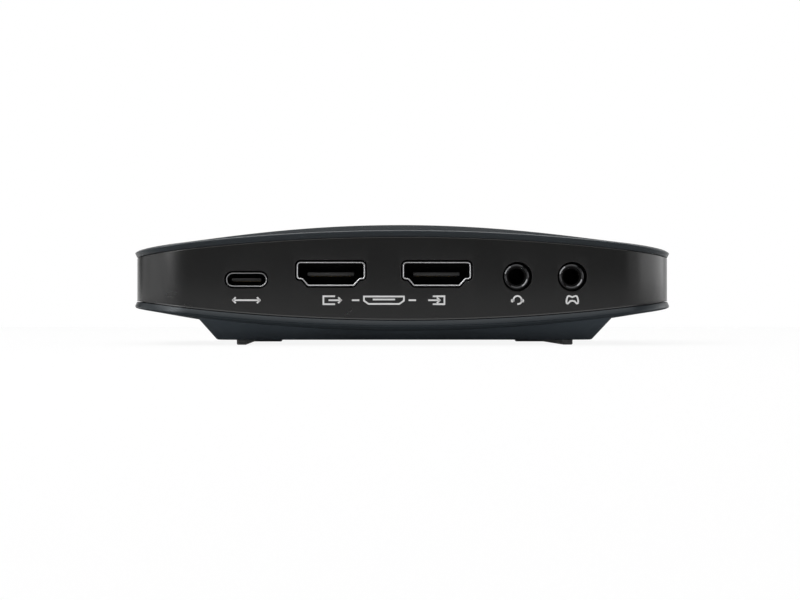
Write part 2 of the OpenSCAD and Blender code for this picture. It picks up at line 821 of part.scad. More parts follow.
module video_receiver_chip() { chip(video_in_x, receiver_y, receiver_s, receiver_s, chip_h); }
module video_splitter_chip() { chip(video_out_x, receiver_y, receiver_s, receiver_s, chip_h); }
module data_bridge_chip() { chip(bridge_x, bridge_y, bridge_s, bridge_s, chip_h); }
module memory_chips() { for (s = [-1, 1]) chip(s * memory_x, processor_y, memory_w, memory_d, chip_h); }
module flash_chip() { chip(flash_x, flash_y, flash_w, flash_d, chip_h); }
module audio_codec_chip() { chip(codec_x, codec_y, codec_s, codec_s, chip_h); }

module crystals() {
  color([0.8, 0.8, 0.8]) for (x = crystal_places) {
    block(x, crystal_y, board_top, crystal_l, crystal_w, crystal_h);
  }
}

module power_inductors() {
  color([0.2, 0.2, 0.21]) for (s = [-1, 1], y = [inductor_y - inductor_pitch, inductor_y]) {
    block(s * inductor_x, y, board_top, inductor_s, inductor_s, inductor_h);
  }
}

module smoothing_capacitors() {
  color([0.7, 0.7, 0.72]) for (x = capacitor_places) {
    post([x, capacitor_y], capacitor_d / 2, board_top, board_top + capacitor_h);
  }
}

// Status light

// Slanted back of the light pipe over the lamp
led_y = board_front - led_d;
pipe_back = led_y - light_h / 2;

module status_led() {
  color([0.95, 0.95, 0.85]) block(0, led_y, board_top, led_w, led_d, led_h);
}

module light_pipe() {
  reach = 2 * light_h;
  color([0.9, 0.9, 0.9]) translate([0, 0, mid_z]) difference() {
    pulled(pipe_back, front_y - socket_recess - pipe_back) stadium(light_w, light_h);
    translate([-light_w, pipe_back, light_h / 2]) rotate([45, 0, 0]) translate([0, -reach, -reach])
      cube([2 * light_w, reach, 2 * reach]);
  }
}

top_cover();
mid_band();
bottom_cover();
left_foot();
right_foot();
case_screws();
main_board();
board_screws();
data_shell();
data_tongue();
data_contacts();
video_out_shell();
video_out_tongue();
video_out_contacts();
video_in_shell();
video_in_tongue();
video_in_contacts();
headset_jack_housing();
headset_jack_ring();
headset_jack_springs();
controller_jack_housing();
controller_jack_ring();
controller_jack_springs();
video_processor();
thermal_pad();
heat_sink();
heat_sink_pins();
video_receiver_chip();
video_splitter_chip();
data_bridge_chip();
memory_chips();
flash_chip();
audio_codec_chip();
crystals();
power_inductors();
smoothing_capacitors();
status_led();
light_pipe();
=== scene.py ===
import json
import math

import bmesh
import bpy
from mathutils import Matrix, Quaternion, Vector


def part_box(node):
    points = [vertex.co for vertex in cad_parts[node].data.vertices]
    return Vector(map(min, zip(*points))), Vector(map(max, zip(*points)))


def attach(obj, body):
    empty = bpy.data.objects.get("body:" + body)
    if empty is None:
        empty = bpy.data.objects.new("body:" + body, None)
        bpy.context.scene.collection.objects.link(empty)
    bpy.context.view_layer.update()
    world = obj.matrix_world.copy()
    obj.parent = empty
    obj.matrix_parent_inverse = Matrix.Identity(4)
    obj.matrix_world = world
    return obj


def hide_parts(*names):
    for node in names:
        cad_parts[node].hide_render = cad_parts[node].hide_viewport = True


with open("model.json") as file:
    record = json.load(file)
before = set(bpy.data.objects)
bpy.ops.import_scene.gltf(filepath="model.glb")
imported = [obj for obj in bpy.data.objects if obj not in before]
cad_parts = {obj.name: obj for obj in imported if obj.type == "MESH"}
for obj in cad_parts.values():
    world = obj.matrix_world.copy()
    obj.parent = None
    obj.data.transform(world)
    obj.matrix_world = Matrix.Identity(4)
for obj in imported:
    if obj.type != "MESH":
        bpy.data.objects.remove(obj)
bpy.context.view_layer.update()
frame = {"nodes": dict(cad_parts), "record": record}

# One millimetre, in metres
MM = 0.001


def mm(*points):
    """Points given in millimetres."""
    return [(a * MM, b * MM) for a, b in points]


# Housing: crowned covers with flared rims, and the band between them
CORNER_R = 13 * MM  # corners of the rims, in plan
CROWN_R = 414 * MM  # arch of the seams across the width
RIM_OVERHANG = 0.45 * MM  # reach of the rims past the band
RIM_H = 1.6 * MM  # height of the upper rim
LOWER_RIM_H = 1.8 * MM  # height of the lower rim
RIM_FLARE_H = 1.1 * MM  # height of the upper rim's flared face
LOWER_FLARE_H = 1.3 * MM  # height of the lower rim's flared face
FLARE_HOLD = 0.9  # straight share of a flared face
RIM_ROUND = 0.4 * MM  # edge radius of the lower rim
RIM_EDGE_W = 0.52 * MM  # width of the rim round the dome
RIM_TIP_R = 0.1 * MM  # radius of a rim's tip
TIP_IN = 0.01 * MM  # place of a flared face's end, in from the rim
COVER_WALL = 1.8 * MM  # wall of the covers
BAND_WALL = 2 * MM  # wall of the band
SEAM_GAP = 0.24 * MM  # gap between the frame's band and covers
UPPER_GAP = 0.03 * MM  # shown gap of the upper seam
UPPER_RISE = 0.17 * MM  # rise of the upper seam at the middle
LOWER_GAP = 0.18 * MM  # shown gap of the lower seam
LOWER_DROP = 0.13 * MM  # drop of the lower seam
SEAM_EDGE_R = 0.1 * MM  # edge of the covers inside the seams
END_START = 47 * MM  # place where the rims start to thin out
UPPER_TAPER = 0.19  # share of the upper rim's height lost at the ends
LOWER_TAPER = 0.08  # share of the lower rim's height lost at the ends
RISE_TAPER = 1  # share of the upper seam's rise lost at the ends
MATT_EDGE = 0.005 * MM  # depth of the textured face's edge under the rim
MATT_TILT = 0.5  # flattest normal of the textured face
SKIRT_IN = 2.6 * MM  # distance of the covers' skirt from the rim
SKIRT_H = 2 * MM  # height of the skirt inside the band
CAVITY_IN = 3.8 * MM  # distance of the covers' inside from the rim
DOME_START = 0.35  # place of the dome's first ring, in steps

# Outer edge of the upper rim, a soft chamfer: distance in from the rim and depth under its top
UPPER_EDGE = mm((0.42, 0.03), (0.26, 0.125), (0.1, 0.22), (0.03, 0.29), (0, 0.36))

# Edges of the rims' flared faces along the seams: distance in from the rim and height over the seam
UPPER_BROW = mm((0.4085, 0.1), (0.4533, 0.045), (0.4802, 0.012))
LOWER_BROW = mm((0.315, 0.24), (0.43, 0.03), (0.47, 0.02))

# Edges of the band along the seams, bevelled above and lipped below: distance in from the face and
# depth inside the seam
UPPER_BEVEL = mm((0.28, 0), (0.18, 0.01), (0.12, 0.04), (0.07, 0.1), (0.02, 0.2), (0.011, 0.26), (0, 0.31))
LOWER_BEVEL = mm((0, 0.29), (0.01, 0.21), (-0.09, 0.005), (-0.07, 0), (0.24, 0))

# Base under the lower cover
BASE_W = 82.4 * MM  # width at the underside
BASE_D = 55 * MM  # depth at the underside
BASE_LEAN = math.radians(40)  # lean of the sides
BASE_CORNER_R = 4 * MM  # corners, in plan
BASE_EDGE_R = 0.5 * MM  # edge round the underside
BASE_EDGE = ((0, 0.6), (0.3, 0.2), (1, 0))  # that edge, as shares of its height and of its radius
BASE_TOP_Z = 7 * MM  # top, inside the lower cover
BASE_SHIFT = 0.37 * MM  # place to the right of the housing's middle
VENT_COUNT = 9  # slots in the underside
VENT_PITCH = 4 * MM  # distance between slots
VENT_SIZE = (1.8 * MM, 18 * MM)  # width and length of a slot
VENT_D = 2 * MM  # depth of a slot
POCKET_GAP = 0.1 * MM  # clearance of the feet and the light pipe
POCKET_H = 0.6 * MM  # depth of a foot's pocket
FOOT_STRIP = 2.2 * MM  # width of a foot's strips
FOOT_EDGE_R = 0.3 * MM  # edge of the feet
SCREW_X = 29 * MM  # case screws from the middle
SCREW_YS = (-14 * MM, 19 * MM)  # rear and front case screws
SCREW_RECESS_R = 2.6 * MM  # recess round a screw's head
SCREW_SEAT_Z = 3.85 * MM  # height of the seat under a screw's head
SCREW_SHANK_R = 1.15 * MM  # shank of a screw
HEAD_CROWN = 0.45  # share of a screw head's height that is domed
CROSS_REACH = 0.55  # reach of the cross recess, as a share of the head
CROSS_W = 0.5 * MM  # width of the cross recess
CROSS_D = 0.6  # depth, as a share of the head's height
CUT_PAST = 1 * MM  # overshoot of a cut past the face that it opens

# Sockets
SOCKET_GAP = 0.3 * MM  # clearance of a shell in the wall
CUT_CHAMFER = 0.06 * MM  # chamfer round a socket's opening
CUT_OVER = 0.1 * MM  # start of an opening's cut before the face
LIP_BACK = 0.45 * MM  # set-back of the shells' lips
LEG_DOWN = 3 * MM  # height of a shell's legs, from their ends
LEG_L = 1.4 * MM  # length of a leg along the shell
LEG_UP = 1 * MM  # height of a leg over the board
LEG_EDGE_R = 0.08 * MM  # edge of a leg
PAINTED_SHADE_TILT = 0.3  # steepest normal of a shell's inner faces that get painted shade
VIDEO_W = 14.9 * MM  # width of a video shell
VIDEO_H = 5.36 * MM  # height of a video shell
VIDEO_SIDE_H = 3.9 * MM  # height of its upright sides
VIDEO_STEP = 1.2 * MM  # step in under the sides
VIDEO_LOW_W = 10 * MM  # width of its underside
SHOULDER_TURN = math.radians(45)  # lean of the sides below the step
VIDEO_WALL = 0.37 * MM  # sheet of a video shell
VIDEO_FILLETS = (0.5 * MM, 0.6 * MM, 0.7 * MM, 0.9 * MM)  # corners: underside, turn, shoulder, top
VIDEO_LEAST_R = 0.05 * MM  # least corner radius inside
BLOCK_D = 2.5 * MM  # depth of the block behind a video tongue
BLOCK_GAP = 0.05 * MM  # clearance of a block in its shell
VIDEO_TONGUE = (10.2 * MM, 0.8 * MM)  # width and thickness of a video tongue
TONGUE_ROUND = 0.3  # edge of a tongue, as a share of its thickness
DATA_W = 8.94 * MM  # width of the data shell
DATA_H = 3.16 * MM  # height of the data shell
DATA_WALL = 0.3 * MM  # sheet of the data shell
DATA_BLOCK_D = 1.6 * MM  # depth of the block behind the data tongue
DATA_TONGUE = (6.4 * MM, 0.7 * MM)  # width and thickness of the data tongue
CONTACT_PROUD = 0.02 * MM  # rise of the contacts over the tongue
CONTACT_ROUND = 0.4  # edge of a contact, as a share of that rise
CONTACT_SET_BACK = 2.4 * MM  # contacts behind the tongue's tip
VIDEO_ROWS = ((10, 1), (9, -1))  # contacts above and below a video tongue
VIDEO_PITCH = 1 * MM  # distance between video contacts
VIDEO_CONTACT_W = 0.45 * MM  # width of a video contact
DATA_ROWS = ((12, 1), (12, -1))  # contacts above and below the data tongue
DATA_PITCH = 0.5 * MM  # distance between data contacts
DATA_CONTACT_W = 0.25 * MM  # width of a data contact
WINDOW_D = 3 * MM  # depth of the light pipe's window

# Jacks
JACK_HOLE_R = 3.2 * MM  # opening round a jack
JACK_PLAY = 0.18 * MM  # openings and marks to the right of the jacks
JACK_CHAMFER = 0.04 * MM  # chamfer round the opening
NOSE_R = 2.27 * MM  # inside of a ring, round the jack's nose
RING_OUT_R = 2.66 * MM  # outside of a ring
RING_RIDGE_R = 2.42 * MM  # ridge on a ring's face
RING_LIP_R = 2.17 * MM  # lip over the nose
RING_SLOPE = math.tan(math.radians(30.5))  # slope on both sides of the ridge
RING_PROUD = 0.2 * MM  # rise of the lip over the nose

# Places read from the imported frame
cover_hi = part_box("top_cover")[1]
band_lo, band_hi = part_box("mid_band")
foot_lo, foot_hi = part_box("right_foot")
HALF_W = cover_hi.x  # half of the housing's width
HALF_D = cover_hi.y  # half of its depth
MID_Z = (band_lo.z + band_hi.z) / 2  # middle of the band
SEAM_TOP = band_hi.z + SEAM_GAP / 2  # upper seam, at the middle of the width
DOME_H = cover_hi.z - SEAM_TOP - RIM_H  # rise of the domes over the rims
BAND_IN = HALF_W - band_hi.x  # band behind the rims
FACE_Y = band_lo.y  # rear face of the band
FRONT_Y = band_hi.y  # front face of the band
FLOOR_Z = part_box("bottom_cover")[0].z  # underside of the base
FOOT_IN_X = foot_hi.x - FOOT_STRIP  # inner edge of a foot's long strip
FOOT_IN_Y = foot_hi.y - FOOT_STRIP  # inner edge of a foot's leg
SCREW_SPOTS = [(sx * SCREW_X, y) for sx in (-1, 1) for y in SCREW_YS]

# Fineness of the curves
CORNER_STEPS = 24  # along a corner of the housing
WIDTH_STEPS = 48  # along the housing's width
DEPTH_STEPS = 24  # along the housing's depth
BASE_CORNER_STEPS = 10  # along a corner of the base
DOME_STEPS = 22  # from a dome's middle to its rim
ARC_STEPS = 6  # along a small round
HEAD_STEPS = 8  # over a screw's head
HOLE_STEPS = 64  # round a jack's opening

# Least angles of the edges that look sharp, in degrees
SHARP = 32  # on most pieces
SHELL_SHARP = 40  # on the upper cover and the sockets' shells
WALL_SHARP = 28  # on the band, the lower cover and the base
RING_SHARP = 20  # on the jacks' rings


# Meshes

def add_object(name, bm):
    """Object in the scene from a finished bmesh."""
    bmesh.ops.recalc_face_normals(bm, faces=bm.faces)
    mesh = bpy.data.meshes.new(name)
    bm.to_mesh(mesh)
    bm.free()
    obj = bpy.data.objects.new(name, mesh)
    bpy.context.scene.collection.objects.link(obj)
    return obj


def skin(bm, rings, loop=False):
    """Faces through equal rings of points: closed in a loop, or capped at both ends."""
    rows = [[bm.verts.new(p) for p in ring] for ring in rings]
    count = len(rows[0])
    pairs = list(zip(rows, rows[1:]))
    if loop:
        pairs.append((rows[-1], rows[0]))
    else:
        bm.faces.new(rows[0])
        bm.faces.new(reversed(rows[-1]))
    for a, b in pairs:
        for j in range(count):
            k = (j + 1) % count
            bm.faces.new((a[j], a[k], b[k], b[j]))


def lofted(name, rings, loop=False):
    """Object lofted through rings of points."""
    bm = bmesh.new()
    skin(bm, rings, loop)
    return add_object(name, bm)


def carve(obj, *tools):
    """The tools are cut from obj, and are gone afterwards."""
    for tool in tools:
        step = obj.modifiers.new("carve", "BOOLEAN")
        step.operation = "DIFFERENCE"
        step.solver = "EXACT"
        step.object = tool
    deps = bpy.context.evaluated_depsgraph_get()
    mesh = bpy.data.meshes.new_from_object(obj.evaluated_get(deps))
    old = obj.data
    obj.modifiers.clear()
    obj.data = mesh
    bpy.data.meshes.remove(old)
    for tool in tools:
        bpy.data.meshes.remove(tool.data)
    return obj


def joined(name, parts):
    """One object from several, which stay apart inside it."""
    bm = bmesh.new()
    for part in parts:
        bm.from_mesh(part.data)
        bpy.data.meshes.remove(part.data)
    mesh = bpy.data.meshes.new(name)
    bm.to_mesh(mesh)
    bm.free()
    obj = bpy.data.objects.new(name, mesh)
    bpy.context.scene.collection.objects.link(obj)
    return obj


def piece(obj, material, slot, *nodes, sharp=SHARP):
    """A shown piece: its material, body and nodes. Edges over an angle stay sharp."""
    obj.data.shade_smooth()
    obj.data.set_sharp_from_angle(angle=math.radians(sharp))
    obj.data.materials.clear()
    obj.data.materials.append(material)
    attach(obj, "root")
    if nodes:
        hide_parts(*nodes)
    return obj


# Outlines

def arc(cx, cy, r, start, end, steps):
    """Points of an arc, angles in degrees."""
    angles = [math.radians(start + (end - start) * i / steps) for i in range(steps + 1)]
    return [(cx + r * math.cos(a), cy + r * math.sin(a)) for a in angles]


def spread(points, counts):
    """Points along a closed polygon, counts[i] steps on side i."""
    out = []
    for i, p in enumerate(points):
        q = points[(i + 1) % len(points)]
        n = counts[i]
        out += [(p[0] + (q[0] - p[0]) * j / n, p[1] + (q[1] - p[1]) * j / n) for j in range(n)]
    return out


def rounded_box(half_w, half_d, r, corner=CORNER_STEPS, sides=(WIDTH_STEPS, DEPTH_STEPS)):
    """Rounded rectangle with points along its sides too."""
    corners, counts = [], []
    for k, (sx, sy) in enumerate(((1, 1), (-1, 1), (-1, -1), (1, -1))):
        corners += arc(sx * (half_w - r), sy * (half_d - r), r, 90 * k, 90 * k + 90, corner)
        counts += [1] * corner + [sides[k % 2]]
    return spread(corners, counts)


def housing_outline(inset):
    """Outline of the rims, moved in."""
    return rounded_box(HALF_W - inset, HALF_D - inset, CORNER_R - inset)


def stadium(w, h, steps=12):
    """Slot with round ends, round the middle."""
    r = h / 2
    return arc(w / 2 - r, 0, r, -90, 90, steps) + arc(r - w / 2, 0, r, 90, 270, steps)


def video_outline(inset):
    """Outline of a video socket, moved in, with rounded corners."""
    radii = video_radii(inset)
    miter = inset * math.tan(SHOULDER_TURN / 2)
    hw = VIDEO_W / 2 - inset
    turn = VIDEO_H / 2 - VIDEO_SIDE_H + inset
    low = -VIDEO_H / 2 + inset
    right = [(VIDEO_LOW_W / 2 - miter, low), (VIDEO_W / 2 - VIDEO_STEP - miter, turn), (hw, turn),
             (hw, VIDEO_H / 2 - inset)]
    points = right + [(-x, z) for x, z in reversed(right)]
    return filleted(points, radii)


def filleted(points, radii):
    """Polygon rounded with one radius per corner."""
    out = []
    count = len(points)
    for i, r in enumerate(radii):
        near = [points[i - 1], points[i], points[(i + 1) % count]]
        out += corner_points(near, r)
    return out


def corner_points(near, r, steps=5):
    """Points that round the middle one of three corners."""
    p = Vector(near[1])
    a = (Vector(near[0]) - p).normalized()
    b = (Vector(near[2]) - p).normalized()
    half = a.angle(b) / 2
    reach = r / math.tan(half)
    centre = p + (a + b).normalized() * r / math.sin(half)
    start = math.atan2(*(reversed(p + a * reach - centre)))
    end = math.atan2(*(reversed(p + b * reach - centre)))
    turn = (end - start + math.pi) % (2 * math.pi) - math.pi
    angles = [start + turn * j / steps for j in range(steps + 1)]
    return [(centre.x + r * math.cos(t), centre.y + r * math.sin(t)) for t in angles]


def crown_drop(x):
    """Depth of the arched seam at x under its middle."""
    return CROWN_R - math.sqrt(CROWN_R * CROWN_R - x * x)


def dome_rise(x, y):
    """Height of the dome over the rim's level."""
    return DOME_H * (1 - (x / HALF_W) ** 2) * (1 - (y / HALF_D) ** 2)


def end_share(x, taper):
    """Share of a height that is left at x, where it thins out to the housing's ends."""
    reach = max(0, abs(x) - END_START) / (HALF_W - END_START)
    return 1 - taper * reach * reach


def rim_ring(inset, h, taper=0):
    """Ring on the rim, h above the upper seam."""
    return [(x, y, SEAM_TOP - crown_drop(x) + h * end_share(x, taper)) for x, y in housing_outline(inset)]


def dome_ring(inset, share, depth, taper=0):
    """Ring on the dome, drawn together, at a depth under its outer face."""
    ring = []
    for x, y in housing_outline(inset):
        px, py = x * share, y * share
        rim_z = SEAM_TOP - crown_drop(px) + RIM_H * end_share(px, taper)
        ring.append((px, py, rim_z + dome_rise(px, py) - depth))
    return ring


def standing(points, x, y, z):
    """Outline drawn in the upright X-Z plane at a place."""
    return [(x + px, y, z + pz) for px, pz in points]


def lying(points, z):
    """Outline drawn in plan at a height."""
    return [(px, py, z) for px, py in points]


# Covers

# Sizes of the dome's rings, closer together towards the rim
DOME_SHARES = [math.sin(math.pi / 2 * (i + DOME_START) / DOME_STEPS) for i in range(DOME_STEPS)]


def round_edge():
    """Quarter round of the lower rim: distance in from the rim and depth under its end."""
    angles = [math.pi / 2 * i / ARC_STEPS for i in range(ARC_STEPS + 1)]
    return [(RIM_ROUND * (1 - math.sin(a)), RIM_ROUND * (1 - math.cos(a))) for a in angles]


def cover_rings(edge, rim_h, flare_h, brow, foot, taper, seam_taper):
    """Rings of a cover, drawn as the upper one, from the dome round the rim to the inside."""
    rings = [dome_ring(RIM_EDGE_W, s, RIM_H - rim_h, taper) for s in DOME_SHARES]
    outer = [(t, rim_h - d) for t, d in edge]
    outer.append((0, flare_h + RIM_TIP_R))
    outer.append((TIP_IN, flare_h))
    outer.append((RIM_OVERHANG * (1 - FLARE_HOLD), foot + (flare_h - foot) * FLARE_HOLD))
    seam = [(t, foot + h) for t, h in brow]
    seam += [(RIM_OVERHANG + SEAM_EDGE_R, foot), (SKIRT_IN, foot)]
    inner = [(SKIRT_IN, -SKIRT_H), (CAVITY_IN, -SKIRT_H)]
    for points, share in ((outer, taper), (seam, seam_taper), (inner, taper)):
        rings += [rim_ring(inset, h, share) for inset, h in points]
    rings += [dome_ring(CAVITY_IN, s, COVER_WALL, taper) for s in reversed(DOME_SHARES)]
    return rings


def mirrored(rings):
    """The rings on the other side of the housing's middle."""
    return [[(x, y, 2 * MID_Z - z) for x, y, z in ring] for ring in rings]


def base_ring(z, inset):
    """Ring of the base at a height, moved in."""
    grow = (z - FLOOR_Z) * math.tan(BASE_LEAN) - inset
    points = rounded_box(BASE_W / 2 + grow, BASE_D / 2 + grow, BASE_CORNER_R, BASE_CORNER_STEPS, (1, 1))
    return lying([(x + BASE_SHIFT, y) for x, y in points], z)


def slot_tool(points, z0, z1):
    """Cutter with a plan, between two heights."""
    return lofted("tool", [lying(points, z0), lying(points, z1)])


def foot_outline(grow):
    """Plan of the right foot, an L with its leg at the front."""
    x0, x1 = foot_lo.x, foot_hi.x
    y0, y1 = foot_lo.y, foot_hi.y
    strip = [(FOOT_IN_X - grow, y0 - grow), (x1 + grow, y0 - grow), (x1 + grow, y1 + grow)]
    leg = [(x0 - grow, y1 + grow), (x0 - grow, FOOT_IN_Y - grow), (FOOT_IN_X - grow, FOOT_IN_Y - grow)]
    return strip + leg


def foot_plan(side, grow):
    """Plan of the right (1) or left (-1) foot on the base."""
    points = foot_outline(grow)
    if side < 0:
        points = [(-x, y) for x, y in reversed(points)]
    return [(x + BASE_SHIFT, y) for x, y in points]


def disc(x, y, r, steps=40):
    """Circle round a place."""
    return [(x + px, y + py) for px, py in arc(0, 0, r, 0, 360 - 360 / steps, steps - 1)]


def base_block():
    """Tapered base, hollowed to the middle of the lower cover's wall."""
    rise = BASE_EDGE_R * (1 - math.sin(BASE_LEAN))
    rings = [base_ring(FLOOR_Z + rise * up, BASE_EDGE_R * inset) for up, inset in BASE_EDGE]
    rings.append(base_ring(BASE_TOP_Z, 0))
    base = lofted("base_form", rings)
    hollow = mirrored([dome_ring(RIM_ROUND, s, COVER_WALL / 2, LOWER_TAPER) for s in DOME_SHARES])
    hollow.append(lying(housing_outline(RIM_ROUND), MID_Z))
    return carve(base, lofted("tool", hollow))


def matt_face(obj, side, finish, taper):
    """The textured face of a cover, inside its satin rim, gets a second finish, which on the lower cover
    is a lighter copy: painted light.
    """
    obj.data.materials.append(finish)
    for face in obj.data.polygons:
        x, y, z = face.center
        rise = side * (z - MID_Z) + MID_Z - SEAM_TOP + crown_drop(x)
        if rise > RIM_H * end_share(x, taper) - MATT_EDGE and side * face.normal.z > MATT_TILT:
            face.material_index = 1


def base_cuts():
    """Cutters of the vents, screw recesses and foot pockets."""
    tools = []
    for i in range(VENT_COUNT):
        x = (i - (VENT_COUNT - 1) / 2) * VENT_PITCH
        points = [(x + py, px) for px, py in stadium(VENT_SIZE[1], VENT_SIZE[0])]
        tools.append(slot_tool(points, FLOOR_Z - CUT_PAST, FLOOR_Z + VENT_D))
    for x, y in SCREW_SPOTS:
        tools.append(slot_tool(disc(x, y, SCREW_RECESS_R), FLOOR_Z - CUT_PAST, SCREW_SEAT_Z))
    for side in (-1, 1):
        tools.append(slot_tool(foot_plan(side, POCKET_GAP), FLOOR_Z - CUT_PAST, FLOOR_Z + POCKET_H))
    return tools


def build_covers():
    """Upper cover, lower cover and the base under it."""
    foot = UPPER_RISE + UPPER_GAP / 2
    top_rings = cover_rings(UPPER_EDGE, RIM_H, RIM_FLARE_H, UPPER_BROW, foot, UPPER_TAPER, RISE_TAPER)
    top = lofted("top_cover_form", top_rings)
    piece(top, SATIN, "cover_plastic", "top_cover", sharp=SHELL_SHARP)
    matt_face(top, 1, MATT, UPPER_TAPER)
    foot = LOWER_DROP + LOWER_GAP / 2
    edge = round_edge()
    low_rings = cover_rings(edge, LOWER_RIM_H, LOWER_FLARE_H, LOWER_BROW, foot, LOWER_TAPER, LOWER_TAPER)
    low = lofted("bottom_cover_form", mirrored(low_rings))
    carve(low, *base_cuts())
    piece(low, SATIN, "cover_plastic", "bottom_cover", sharp=WALL_SHARP)
    # The lower cover's downward faces get a lighter copy of the matt finish: painted light that lifts
    # their shade
    matt_face(low, -1, LOWER_MATT_PAINTED_LIGHT, LOWER_TAPER)
    base = base_block()
    carve(base, *base_cuts())
    # The base gets a lighter copy of the cover plastic: painted light that lifts the shade on its downward
    # sides
    piece(base, BASE_MATT_PAINTED_LIGHT, "cover_plastic", "bottom_cover", sharp=WALL_SHARP)


# Band

def band_ring(inset, side, depth):
    """Ring of the band, a depth inside the upper (1) or lower (-1) seam."""
    ring = []
    for x, y in housing_outline(BAND_IN + inset):
        if side > 0:
            more = UPPER_RISE * end_share(x, RISE_TAPER) - UPPER_GAP / 2
        else:
            more = LOWER_DROP - LOWER_GAP / 2
        reach = SEAM_TOP - MID_Z - crown_drop(x) + more - depth
        ring.append((x, y, MID_Z + side * reach))
    return ring


def port_tool(outline, x, z, chamfer):
    """Cutter through the rear wall, flared at the face."""
    start, end = FACE_Y - CUT_OVER, FACE_Y + BAND_WALL + CUT_PAST
    rings = [(start, chamfer + CUT_OVER), (FACE_Y + chamfer, 0), (end, 0)]
    return lofted("tool", [standing(outline(g), x, y, z) for y, g in rings])


def node_middle(node):
    """Middle of a node's box in the frame."""
    lo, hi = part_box(node)
    return (lo + hi) / 2


# Middles of the sockets and jacks
VIDEO_Z = node_middle("video_out_tongue").z
DATA_Z = node_middle("data_tongue").z
VIDEO_XS = {"video_out": node_middle("video_out_shell").x, "video_in": node_middle("video_in_shell").x}
DATA_X = node_middle("data_shell").x
JACK_MIDS = {n: node_middle(n + "_jack_ring") for n in ("headset", "controller")}


def video_radii(inset):
    """Corner radii of the video outline, moved in: underside, turn, shoulder and top."""
    half = [max(r - inset * way, VIDEO_LEAST_R) for r, way in zip(VIDEO_FILLETS, (1, -1, 1, 1))]
    return half + half[::-1]


def video_cut(grow):
    """Outline of a video socket's opening, widened."""
    return video_outline(-SOCKET_GAP - grow)


def data_cut(grow):
    """Outline of the data socket's opening, widened."""
    more = 2 * (SOCKET_GAP + grow)
    return stadium(DATA_W + more, DATA_H + more)


def jack_cut(grow):
    """Outline of a jack's opening, widened."""
    return disc(0, 0, JACK_HOLE_R + grow, HOLE_STEPS)


def build_band(material):
    """Band with the openings of its rear wall and the window in front."""
    rings = []
    for side, bevel in ((1, UPPER_BEVEL), (-1, LOWER_BEVEL)):
        rings += [band_ring(t, side, d) for t, d in bevel]
    rings.append(band_ring(BAND_WALL, -1, 0))
    rings.append(band_ring(BAND_WALL, 1, 0))
    band = lofted("mid_band_form", rings, loop=True)
    tools = [port_tool(video_cut, x, VIDEO_Z, CUT_CHAMFER) for x in VIDEO_XS.values()]
    tools.append(port_tool(data_cut, DATA_X, DATA_Z, CUT_CHAMFER))
    tools += [port_tool(jack_cut, m.x + JACK_PLAY, m.z, JACK_CHAMFER) for m in JACK_MIDS.values()]
    lo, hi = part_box("light_pipe")
    window = stadium(hi.x - lo.x + 2 * POCKET_GAP, hi.z - lo.z + 2 * POCKET_GAP)
    ends = (FRONT_Y - WINDOW_D, FRONT_Y + CUT_PAST)
    tools.append(lofted("tool", [standing(window, 0, y, MID_Z) for y in ends]))
    carve(band, *tools)
    piece(band, material, "band_plastic", "mid_band", sharp=WALL_SHARP)


# Sockets

def shell_rings(outline, wall, y0, y1):
    """Rings of a sheet metal shell with a half round lip at its mouth."""
    lip = wall / 2
    stations = [(y1, 0)]
    for i in range(2 * ARC_STEPS + 1):
        a = math.pi * i / (2 * ARC_STEPS)
        stations.append((y0 + lip - lip * math.sin(a), lip - lip * math.cos(a)))
    stations.append((y1, wall))
    return [(y, outline(t)) for y, t in stations]


def soft_block(name, lo, hi, r):
    """Block whose edges are rounded."""
    bm = bmesh.new()
    bmesh.ops.create_cube(bm, size=1)
    size = Vector(hi) - Vector(lo)
    middle = (Vector(hi) + Vector(lo)) / 2
    for v in bm.verts:
        v.co = Vector((v.co.x * size.x, v.co.y * size.y, v.co.z * size.z)) + middle
    bmesh.ops.bevel(bm, geom=bm.edges[:], offset=r, segments=3, affect="EDGES", profile=0.5)
    return add_object(name, bm)


def leg_parts(shell, wall):
    """The four legs of a shell, through the board."""
    lo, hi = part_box(shell)
    board_lo, board_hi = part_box("main_board")
    top = board_hi.z + LEG_UP
    legs = []
    for x in (lo.x, hi.x - wall):
        for y in (board_lo.y + LEG_L, hi.y - LEG_L):
            low, high = (x, y - LEG_L / 2, lo.z), (x + wall, y + LEG_L / 2, top)
            legs.append(soft_block("leg", low, high, LEG_EDGE_R))
    return legs


def tongue_parts(name, x, z, outline, wall, size, block_d):
    """Tongue with the moulded block that closes the socket's back."""
    lo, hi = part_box(name + "_tongue")
    gap = wall + BLOCK_GAP
    w, t = size
    block = lofted(name + "_block_form", [standing(outline(gap), x, y, z) for y in (hi.y - block_d, hi.y)])
    low = (x - w / 2, lo.y, z - t / 2)
    high = (x + w / 2, hi.y - block_d / 2, z + t / 2)
    blade = soft_block(name + "_tongue_form", low, high, t * TONGUE_ROUND)
    return [blade, block]


def contact_parts(name, x, z, t, rows, pitch, width):
    """Contacts let into both faces of a tongue, a little proud of it."""
    lo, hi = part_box(name + "_contacts")
    parts = []
    for count, side in rows:
        near, far = sorted((z + side * (t / 2 - CONTACT_PROUD), z + side * (t / 2 + CONTACT_PROUD)))
        for i in range(count):
            cx = x + (i - (count - 1) / 2) * pitch
            start = (cx - width / 2, lo.y + CONTACT_SET_BACK, near)
            end = (cx + width / 2, hi.y, far)
            parts.append(soft_block("contact", start, end, CONTACT_PROUD * CONTACT_ROUND))
    return parts


